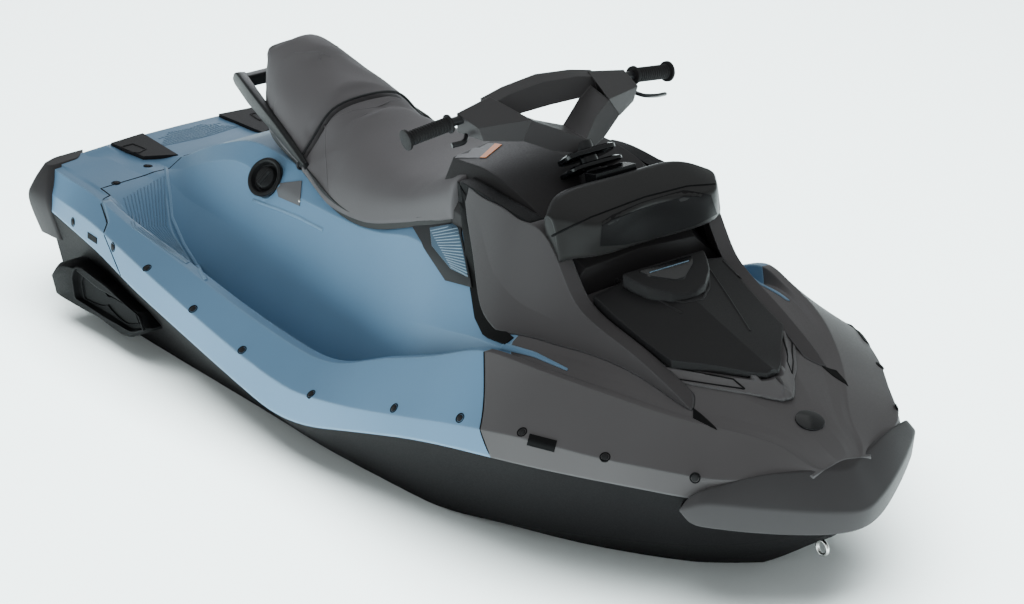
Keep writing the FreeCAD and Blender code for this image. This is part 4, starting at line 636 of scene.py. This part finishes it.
# Along the seat, in shares: edge, side and shoulder as half width and height, then the crown's height.
SEAT_ROWS = [
    (0.213, 0.145, 0.791, 0.146, 0.803, 0.118, 0.817, 0.822),
    (0.229, 0.209, 0.729, 0.202, 0.757, 0.126, 0.808, 0.832),
    (0.251, 0.265, 0.670, 0.222, 0.743, 0.125, 0.790, 0.825),
    (0.264, 0.280, 0.662, 0.235, 0.733, 0.131, 0.776, 0.807),
    (0.287, 0.306, 0.650, 0.256, 0.716, 0.150, 0.760, 0.787),
    (0.324, 0.342, 0.638, 0.274, 0.686, 0.171, 0.743, 0.757),
    (0.358, 0.385, 0.620, 0.316, 0.655, 0.188, 0.708, 0.731),
    (0.394, 0.419, 0.605, 0.367, 0.653, 0.222, 0.698, 0.716),
    (0.448, 0.431, 0.613, 0.390, 0.662, 0.256, 0.695, 0.711),
    (0.502, 0.419, 0.653, 0.390, 0.696, 0.262, 0.722, 0.735),
    (0.545, 0.402, 0.690, 0.388, 0.738, 0.290, 0.768, 0.776),
    (0.566, 0.384, 0.711, 0.382, 0.760, 0.310, 0.792, 0.798),
]
SEAM_SHARE, SEAM_MARGIN_SHARE = 0.324, 0.0032
SKIRT_DROP, SKIRT_IN = 0.018, 0.030
SKIRT_OUT, EDGE_OUT, SIDE_OUT = 0.002, 0.007, 0.003
# How the two kinds of end round off: reach beyond the last section, and scale about its middle.
OPEN_END = [(0.005, 0.97), (0.009, 0.90), (0.011, 0.75), (0.012, 0.5), (0.012, 0.25)]
SEAM_END = [(0.004, 0.985), (0.008, 0.955), (0.0088, 0.85), (0.0088, 0.6), (0.0088, 0.3)]
CLOTH_PRESSURE, CLOTH_FRAMES, SWELL_LIMIT = 4, 20, 0.007


def seat_ring(row):
    """One section of the cushion: under the base's edge, over the side and the crown, and back."""
    x = row[0]
    edge, side, shoulder = (spot(x, row[i], row[i + 1]) for i in (1, 3, 5))
    skirt = edge - Vector((0, 0, SKIRT_DROP))
    half = [skirt - Vector((0, SKIRT_IN, 0)), skirt + Vector((0, SKIRT_OUT, 0)),
            edge + Vector((0, EDGE_OUT, 0)), side + Vector((0, SIDE_OUT, 0)), shoulder]
    other = [Vector((point.x, -point.y, point.z)) for point in reversed(half)]
    centre = Vector((half[0].x, 0, half[0].z))
    whole = [centre] + half + [spot(x, 0, row[7])] + other + [centre]
    return [Vector(point) for point in eased(whole, count=6)[:-1]]


def closing(ring, direction, stages):
    """Rings that round off an end: each reaches a little further and is scaled about the middle."""
    centre = sum(ring, Vector()) / len(ring)
    return [[centre + (point - centre) * scale + Vector((direction * reach, 0, 0)) for point in ring]
            for reach, scale in stages]


def settle(obj):
    """Turns a piece's modifiers into its own mesh."""
    shaped = bpy.data.meshes.new_from_object(obj.evaluated_get(bpy.context.evaluated_depsgraph_get()))
    obj.modifiers.clear()
    obj.data = shaped


def cushion(name, node, rows, rear_end, front_end):
    """A padded form through its sections, swelled by cloth pressure."""
    rings = [seat_ring(row) for row in rows]
    rings = list(reversed(closing(rings[0], -1, rear_end))) + rings + closing(rings[-1], 1, front_end)
    obj = stand_in(piece(name, lofted(rings), vinyl, angle=180), node)
    start = [v.co.copy() for v in obj.data.vertices]
    cloth = obj.modifiers.new("cloth", "CLOTH")
    cloth.settings.use_pressure = True
    cloth.settings.uniform_pressure_force = CLOTH_PRESSURE
    cloth.settings.effector_weights.gravity = 0
    for number in range(CLOTH_FRAMES):
        bpy.context.scene.frame_set(number + 1)
    settle(obj)
    bpy.context.scene.frame_set(1)
    for vertex, rest in zip(obj.data.vertices, start):
        move = vertex.co - rest
        if move.length > SWELL_LIMIT:
            vertex.co = rest + move.normalized() * SWELL_LIMIT
    finer = obj.modifiers.new("finer", "SUBSURF")
    finer.levels = finer.render_levels = 1
    settle(obj)
    obj.data.shade_smooth()
    return obj


seat_rows = eased(SEAT_ROWS, count=10)
rear_rows = [row for row in seat_rows if row[0] < SEAM_SHARE - SEAM_MARGIN_SHARE]
front_rows = [row for row in seat_rows if row[0] > SEAM_SHARE + SEAM_MARGIN_SHARE]
front_cushion = cushion("seat_front_cushion", "seat_front", front_rows, SEAM_END, OPEN_END)
rear_cushion = cushion("seat_rear_cushion", "seat_rear", rear_rows, OPEN_END, SEAM_END)
cushions = [([v.co.copy() for v in obj.data.vertices], [tuple(face.vertices) for face in obj.data.polygons])
            for obj in (front_cushion, rear_cushion)]
cushion_skin = BVHTree.FromPolygons(*joined(cushions))
welting = moulded("black_vinyl_welting", "#18181A", "#2C2C2E", 0.5, 0.5, grain_mm=3.0)
seam_ring = seat_ring([row for row in seat_rows if row[0] >= SEAM_SHARE][0])
HIDDEN_POINTS = 11  # of the ring, at each end: they lie under the base's edge
piece("seam_welting", tube(seam_ring[HIDDEN_POINTS:-HIDDEN_POINTS], radius=0.0035), welting)

# Sewn channels: at the hump's foot, round the front cushion's dish, and down the panel behind it.
CHANNELS = [[(284, 60), (294, 53), (318, 51), (331, 57)], [(331, 119), (353, 110), (376, 107), (400, 107)],
            [(325, 117), (325, 150), (328, 192)]]
channels = [bead(line, cushion_skin, radius=0.0022, sunk=0.6) for line in CHANNELS]
pair("sewn_channels", joined(channels), vinyl)


# --- Grab handle: two blade arms and a bar behind the seat ---
# Glass-filled nylon, bolted to the pedestal, with the fuel cap's satin face. Each arm is a blade,
# broad near its top and thin at its foot.
BLADE = [  # place, half height and half thickness
    (spot(0.172, 0.178, 0.717, -1), 0.012, 0.011), (spot(0.179, 0.185, 0.717, -1), 0.019, 0.013),
    (spot(0.217, 0.240, 0.705, -1), 0.021, 0.012), (spot(0.277, 0.305, 0.679, -1), 0.017, 0.010),
    (spot(0.318, 0.345, 0.655, -1), 0.012, 0.008), (spot(0.336, 0.357, 0.642, -1), 0.007, 0.007),
    (spot(0.338, 0.330, 0.605, -1), 0.005, 0.006),
]
BLADE_ACROSS, BLADE_RISE = Vector((0.18, 0.90, 0)).normalized(), Vector((0.35, 0, 0.94))
BLADE_EDGE, BAR_EDGE, BAR_HALF = 0.006, 0.007, 0.016


def box_ring(centre, half_across, half_up, radius, count=3):
    """A rounded rectangle about a centre, from its half sides."""
    return rounded([centre + half_across * a + half_up * b for a, b in SQUARE], radius, count)


arm = lofted([box_ring(place, BLADE_ACROSS * half_thickness, BLADE_RISE * half_height, BLADE_EDGE)
              for place, half_height, half_thickness in BLADE])
bar = lofted([box_ring(spot(0.184, 0.192, 0.713, side), Vector((BAR_HALF, 0, 0)), Vector((0, 0, BAR_HALF)),
                       BAR_EDGE) for side in (-1, 1)])
handle = piece("grab_handle_moulding", joined([arm, mirror(arm), bar]), nylon)
stand_in(handle, "grab_handle")


# --- Console: black centre moulding ahead of the seat, under the bars ---
# Injection moulded, with a dull, very dark face. A plain vinyl plate lies on its starboard shoulder,
# with one flat orange stripe printed at its end.
console_black = moulded("console_black_polypropylene", "#2C2A2B", "#403F40", 0.5, 6.0, shine=0.1)
dress(console_black, "console")
console_skin = skin_of("console")
orange = moulded("printed_orange_vinyl", "#E0813C", "#E89A62", 0.45, 0.3, grain_mm=3.0)
console_plate = patch([(462, 150), (480, 143), (500, 144)], [(452, 158), (468, 158), (482, 158)],
                      console_skin, lift=0.001, rows=3, columns=10)
piece("console_plate", console_plate, plate_grey)
stripe = patch([(495, 144), (502, 145)], [(480, 158), (486, 158)], console_skin, lift=0.0018, rows=3,
               columns=2)
piece("orange_stripe", stripe, orange)


# --- Side grilles: dark grey frames with blue-grey blades, painted pale as a highlight ---
# Moulded louvres under the front of the seat, that let air to the engine. Blades and bed are one blue-grey
# plastic, painted paler on the blades as a highlight and darker in the bed as shade between them.
grille_grey = moulded("grille_grey_polypropylene", "#343537", "#56575A", 0.5, 2.0, grain_mm=3.0, shine=0.15)
# Painted shade: the bed's darker blue-grey between the blades. The same colour draws the bezel's painted
# reflection.
louvre_shade_and_reflection = moulded("blue_grey_painted_shade_and_reflection", "#4B6377", "#9FB2C2", 0.45, 1.0, grain_mm=3.0)
grille_shape = patch([(411, 224), (428, 252), (447, 281)], [(459, 219), (466, 252), (473, 288)],
                     deck_mid_skin, lift=0.006, rows=8, columns=12)
stand_in_pair(pair("side_grille_frame", grille_shape, grille_grey), "side_grille")
grille_skin = BVHTree.FromPolygons(*grille_shape)
louvre_bed = patch([(430, 228), (432, 246), (451, 269)], [(457, 223), (463, 250), (468, 277)], grille_skin,
                   lift=0.001, rows=6, columns=8)
pair("louvre_bed", louvre_bed, louvre_shade_and_reflection)
# Painted highlight: the blades' paler blue-grey.
louvre_painted_highlight = moulded("blue_grey_painted_highlight", "#7C93A6", "#A9BAC8", 0.4, 1.0, grain_mm=3.0)
UPPER_LOUVRE, LOWER_LOUVRE = [(431, 231), (457, 225)], [(451, 267), (468, 276)]
blades = [bead(line, grille_skin, radius=0.0013, sunk=-0.7, pitch=5)
          for line in fanned(UPPER_LOUVRE, LOWER_LOUVRE, gaps=15)]
pair("louvre_blades", joined(blades), louvre_painted_highlight)


# --- Wings: grey folded panels that stand off beside the lid ---
# Injection moulded, with a satin face on which each fold reads as a soft change of tone. A matt black
# surround shows behind each, and slats in it close the air intake.
wing_grey = moulded("wing_grey_polypropylene", "#413E3F", "#5E5D5F", 0.5, 6.0, shine=0.1)
dress(wing_grey, "wing_port", "wing_starboard")
surround_black = moulded("matt_black_polypropylene", "#0C0C0D", "#1E1E20", 0.6, 3.0, shine=0.1)
dress(surround_black, "surround_port", "surround_starboard")
surround_skin = skin_of("surround_starboard", "console", "deck_mid", "deck_front")
BORDER_OUT = [(456, 178), (462, 217), (470, 285), (475, 318), (484, 337), (505, 345)]
BORDER_IN = [(470, 202), (475, 240), (482, 285), (490, 310), (500, 326), (514, 338)]
intake_border = patch(BORDER_OUT, BORDER_IN, surround_skin, lift=0.0025, rows=3, columns=30)
pair("intake_border", intake_border, surround_black)
UPPER_SLAT, LOWER_SLAT = [(476, 288), (485, 296)], [(480, 318), (494, 328)]
slats = [bead(line, surround_skin, radius=0.0026, sunk=-0.4, flatten=0.6)
         for line in fanned(UPPER_SLAT, LOWER_SLAT, gaps=6)]
pair("intake_slats", joined(slats), black_moulding)


# --- Pod and gauge: the hooded front of the console ahead of the bars ---
# Two satin black mouldings, drawn as one soft form, meet at a dark joint line. A thin panel of fine
# grained polycarbonate covers the front, painted darker as the shade of its recess, and the gauge behind is
# gloss black acrylic.
pod_black = moulded("pod_black_polypropylene", "#262525", "#3F3E3E", 0.42, 4.0, grain_mm=3.0, shine=0.08)

# Side views of the pod at its end, shoulder and centre: half width, then length and height shares.
POD_SECTIONS = [
    (0.411, [(0.708, 0.722), (0.7035, 0.747), (0.697, 0.794), (0.700, 0.808), (0.706, 0.804), (0.710, 0.784),
             (0.714, 0.738), (0.713, 0.722)]),
    (0.400, [(0.706, 0.717), (0.7015, 0.747), (0.694, 0.801), (0.699, 0.817), (0.712, 0.811), (0.716, 0.786),
             (0.720, 0.733), (0.716, 0.715)]),
    (0.280, [(0.692, 0.716), (0.6855, 0.773), (0.681, 0.831), (0.690, 0.838), (0.7375, 0.805),
             (0.737, 0.772), (0.733, 0.729), (0.702, 0.714)]),
    (0.000, [(0.692, 0.711), (0.6855, 0.773), (0.683, 0.836), (0.692, 0.844), (0.732, 0.814), (0.726, 0.772),
             (0.7275, 0.722), (0.702, 0.708)]),
]
half = [[y] + [value for place in plan for value in place] for y, plan in POD_SECTIONS]
whole = half + [[-row[0]] + row[1:] for row in reversed(half[:-1])]
rings = [rounded([spot(x, y, z) for x, z in zip(plan[::2], plan[1::2])], radius=0.010, count=4)
         for y, *plan in eased(whole, count=8)]
pod_shape = lofted(rings)
pod = piece("pod_moulding", pod_shape, pod_black, angle=60)
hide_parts("pod_lower", "pod_upper")
pod_skin = BVHTree.FromPolygons(*pod_shape)
POD_JOINT = [(552, 236), (591, 217), (644, 197), (687, 186), (715, 184)]
piece("pod_joint", bead(POD_JOINT, pod_skin, radius=0.003, sunk=0.3), shadow_black)
# Painted shade: the recess in the pod's front is this darker panel, which barely shines.
pod_face_shade = moulded("pod_face_painted_shade", "#161516", "#232325", 0.5, 2.0, grain_mm=3.0, shine=0.05)
FACE_TOP = [(602, 222), (612, 215), (640, 203), (684, 190), (711, 195)]
FACE_FOOT = [(600, 246), (624, 245), (650, 239), (694, 226), (717, 214)]
piece("pod_face", patch(FACE_TOP, FACE_FOOT, pod_skin, lift=0.0012, rows=6, columns=20), pod_face_shade)
dress(gloss_black, "gauge")


# --- Storage lid: black moulding hinged at its rear edge, with a V-shaped bezel ---
# Satin black, with folds that run from the bezel toward the nose. The bezel is a band of the same
# plastic round a glossy V, on which one thin blue line is a painted reflection of the sky.
lid_black = moulded("lid_black_polypropylene", "#201F20", "#383738", 0.45, 6.0, grain_mm=3.0, shine=0.12)
dress(lid_black, "storage_lid")
lid_skin = skin_of("storage_lid")
CROWN_FOLD = [(640, 288), (658, 295), (682, 302), (702, 299), (709, 287), (708, 268)]
folds = [bead(CROWN_FOLD, lid_skin, radius=0.005, sunk=0.4),
         bead([(644, 291), (661, 301), (682, 313)], lid_skin, radius=0.004, sunk=0.5),
         bead([(708, 267), (729, 298), (750, 331)], lid_skin, radius=0.004, sunk=0.5),
         bead([(713, 251), (746, 284), (779, 317)], lid_skin, radius=0.004, sunk=0.5)]
piece("lid_folds", joined(folds), lid_black, "lid")

BEZEL_REAR_X, BEZEL_REAR_Z, BEZEL_FALL, BEZEL_EDGE = 0.742, 0.697, 0.949, 0.006


def on_slope(x_share, y_share, rise):
    """A point over the bezel's slope, which falls toward the nose."""
    z_share = BEZEL_REAR_Z - BEZEL_FALL * (x_share - BEZEL_REAR_X)
    return spot(x_share, y_share, z_share) + Vector((0, 0, rise))


def bezel_ring(half_plan, rise, inset):
    """A symmetric outline over the bezel's slope, from its shares of length and half beam."""
    ring = [on_slope(x, y, rise) for x, y in half_plan + [(x, -y) for x, y in reversed(half_plan)]]
    centre = sum(ring, Vector()) / len(ring)
    return rounded([point + (centre - point).normalized() * inset for point in ring], BEZEL_EDGE)


V_BAND = [(0.746, 0.210), (0.755, 0.192), (0.767, 0.158), (0.780, 0.085), (0.785, 0.022)]
V_GLASS = [(0.749, 0.138), (0.757, 0.114), (0.769, 0.022)]
BAND_STEPS, GLASS_STEPS = [(-0.030, 0), (-0.003, 0), (0, 0.003)], [(-0.002, 0), (0.001, 0), (0.003, 0.002)]
band = lofted([bezel_ring(V_BAND, rise, inset) for rise, inset in BAND_STEPS])
stand_in(piece("bezel_band", band, lid_black, "lid"), "lid_bezel")
glass = lofted([bezel_ring(V_GLASS, rise, inset) for rise, inset in GLASS_STEPS])
piece("bezel_glass", glass, gloss_black, "lid")
# Painted reflection: a thin blue line across the glossy V, where the sky would show.
painted_reflection_line = [on_slope(0.754, y, 0.003) for y in (-0.100, 0.100)]
piece("bezel_painted_reflection", tube(painted_reflection_line, radius=0.0015), louvre_shade_and_reflection, "lid")


# --- Chin frame: grey moulding round the lid's nose ---
# Screwed to the foredeck and of the same grey plastic. Dark lines of near-black plastic along the long
# step pressed in each side are painted shade.
CHIN_INNER = [(655, 363), (690, 368), (757, 376), (770, 373)]
CHIN_OUTER = [(664, 380), (700, 387), (785, 401), (793, 397)]
chin_half = patch(CHIN_INNER, CHIN_OUTER, skin_of("chin_frame", "deck_front"), lift=0.004, rows=4,
                  columns=24, root=0.006)
chin = piece("chin_frame_moulding", joined([chin_half, mirror(chin_half)]), grey_moulding)
stand_in(chin, "chin_frame")
chin_skin = BVHTree.FromPolygons(*chin_half)
STEP_LINES = [[(664, 366), (733, 379), (745, 389)], [(670, 378), (744, 389)]]
chin_steps = [bead(line, chin_skin, radius=0.0022, sunk=0.3) for line in STEP_LINES]
pair("chin_step", joined(chin_steps), shadow_black)


# --- Bars and cover: steel bar under a faceted black cover, rubber grips and metal levers ---
# The cover is two satin moulded halves screwed together: a pad, two end blocks and two arms that run to
# the column, with crisp edges. Powder coat gives the bar, column and levers a low, even gloss.
painted_steel = moulded("black_powder_coated_steel", "#1C1C1E", "#3A3A3C", 0.35, 1.0, grain_mm=2.0)
dress(painted_steel, "steering_column")
cover_black = moulded("cover_black_polypropylene", "#3A3839", "#525050", 0.42, 3.0, grain_mm=3.0, shine=0.12)


def mirrored_rings(rings):
    """Rings from port to the centreline, then their mirror images to starboard, as one run."""
    port = [[Vector(point) for point in ring] for ring in rings]
    return port + [[Vector((x, -y, z)) for x, y, z in ring] for ring in reversed(rings[:-1])]


PAD = [
    [(0.208, 0.165, 0.924), (0.244, 0.165, 0.917), (0.262, 0.165, 0.878), (0.216, 0.165, 0.872)],
    [(0.206, 0.100, 0.938), (0.240, 0.100, 0.930), (0.262, 0.100, 0.884), (0.216, 0.100, 0.880)],
    [(0.205, 0.000, 0.948), (0.238, 0.000, 0.938), (0.264, 0.000, 0.887), (0.216, 0.000, 0.882)],
]
END_BLOCK = [
    [(0.230, 0.250, 0.912), (0.298, 0.239, 0.892), (0.299, 0.225, 0.857), (0.224, 0.245, 0.862)],
    [(0.220, 0.147, 0.928), (0.341, 0.115, 0.898), (0.346, 0.145, 0.852), (0.224, 0.147, 0.858)],
]
ARMS = [
    [(0.236, 0.135, 0.905), (0.340, 0.116, 0.897), (0.345, 0.145, 0.853), (0.250, 0.135, 0.846)],
    [(0.276, 0.056, 0.866), (0.362, 0.056, 0.868), (0.374, 0.076, 0.821), (0.290, 0.060, 0.818)],
    [(0.312, 0.000, 0.851), (0.402, 0.000, 0.842), (0.405, 0.000, 0.808), (0.325, 0.000, 0.795)],
]
end_block = lofted([[Vector(point) for point in ring] for ring in END_BLOCK])
cover_parts = [lofted(mirrored_rings(PAD)), end_block, mirror(end_block), lofted(mirrored_rings(ARMS))]
cover = piece("bar_cover_moulding", joined(cover_parts), cover_black, "handlebars", angle=12)
stand_in(cover, "bar_cover")

# The bent tube, and the levers: a long one to port for the brake and a short one for the throttle.
HALF_BAR = [(0.362, 0.000, 0.834), (0.346, 0.060, 0.846), (0.252, 0.205, 0.893), (0.239, 0.232, 0.8985),
            (0.2350, 0.262, 0.8950), (0.2232, 0.388, 0.8758)]
bar_path = [(x, -y, z) for x, y, z in reversed(HALF_BAR[1:])] + HALF_BAR
handlebar = piece("bent_handlebar", tube(bar_path, radius=0.011, sides=20), painted_steel, "handlebars")
stand_in(handlebar, "handlebar")
BRAKE = [spot(0.594, 0.415, 0.912), spot(0.602, 0.450, 0.902), spot(0.603, 0.515, 0.894),
         spot(0.597, 0.590, 0.885)]
THROTTLE = [spot(0.592, 0.415, 0.905, -1), spot(0.598, 0.450, 0.899, -1), spot(0.597, 0.505, 0.897, -1)]
lever_shape = joined([tube(eased(line, count=4), radius=0.0068, sides=10, flatten=0.75)
                      for line in (BRAKE, THROTTLE)])
stand_in(piece("levers_cast", lever_shape, painted_steel, "handlebars"), "levers")

# Ribbed grips, each turned about its bar.
GRIP_ENDS = [Vector((0.2340, -0.2725, 0.8932)), Vector((0.2226, -0.3945, 0.8748))]
grip_axis = (GRIP_ENDS[1] - GRIP_ENDS[0]).normalized()
grip_length = (GRIP_ENDS[1] - GRIP_ENDS[0]).length
GRIP_RIBS, PLAIN_END = 14, 0.010
RIB_PROFILE = [(0.0165, 0), (0.0182, 0.002), (0.0182, 0.005), (0.0165, 0.0065)]
FLANGE_PROFILE = [(0.0175, -0.009), (0.0250, -0.007), (0.0255, -0.001), (0.0225, 0), (0.004, 0)]
grip_profile = [(0.012, 0.0), (0.0225, 0.001), (0.0235, 0.006), (0.0175, 0.008)]
for i in range(GRIP_RIBS):
    start = PLAIN_END + (grip_length - 2 * PLAIN_END) * i / GRIP_RIBS
    grip_profile += [(radius, start + height) for radius, height in RIB_PROFILE]
grip_profile += [(radius, grip_length + height) for radius, height in FLANGE_PROFILE]
grip = lathe(grip_profile, GRIP_ENDS[0], grip_axis, sides=32)
grips = piece("ribbed_grips", joined([grip, mirror(grip)]), rubber, "handlebars")
stand_in(grips, "grips")

# Two gloss collars below the cover, round the column: the upper turns with the bars.
COLUMN_FOOT = Vector((0.4369, 0, 0.7518))
COLUMN_AXIS = Vector((-0.573576, 0, 0.819152))
ACROSS, AHEAD = Vector((0, 1, 0)), Vector((0.819152, 0, 0.573576))
COLLAR_CORNER = 0.030


def collar(name, rise, thickness, half_across, half_ahead, body):
    """A rounded slab square to the steering column."""
    rings = []
    for level, inset in ((0, 0.004), (0.003, 0), (thickness - 0.004, 0), (thickness, 0.006)):
        rings.append(box_ring(COLUMN_FOOT + COLUMN_AXIS * (rise + level), ACROSS * (half_across - inset),
                              AHEAD * (half_ahead - inset), COLLAR_CORNER, count=6))
    piece(name, lofted(rings), gloss_black, body)


collar("upper_collar", rise=0.055, thickness=0.016, half_across=0.068, half_ahead=0.044, body="handlebars")
collar("lower_collar", rise=0.024, thickness=0.014, half_across=0.072, half_ahead=0.048, body="craft")
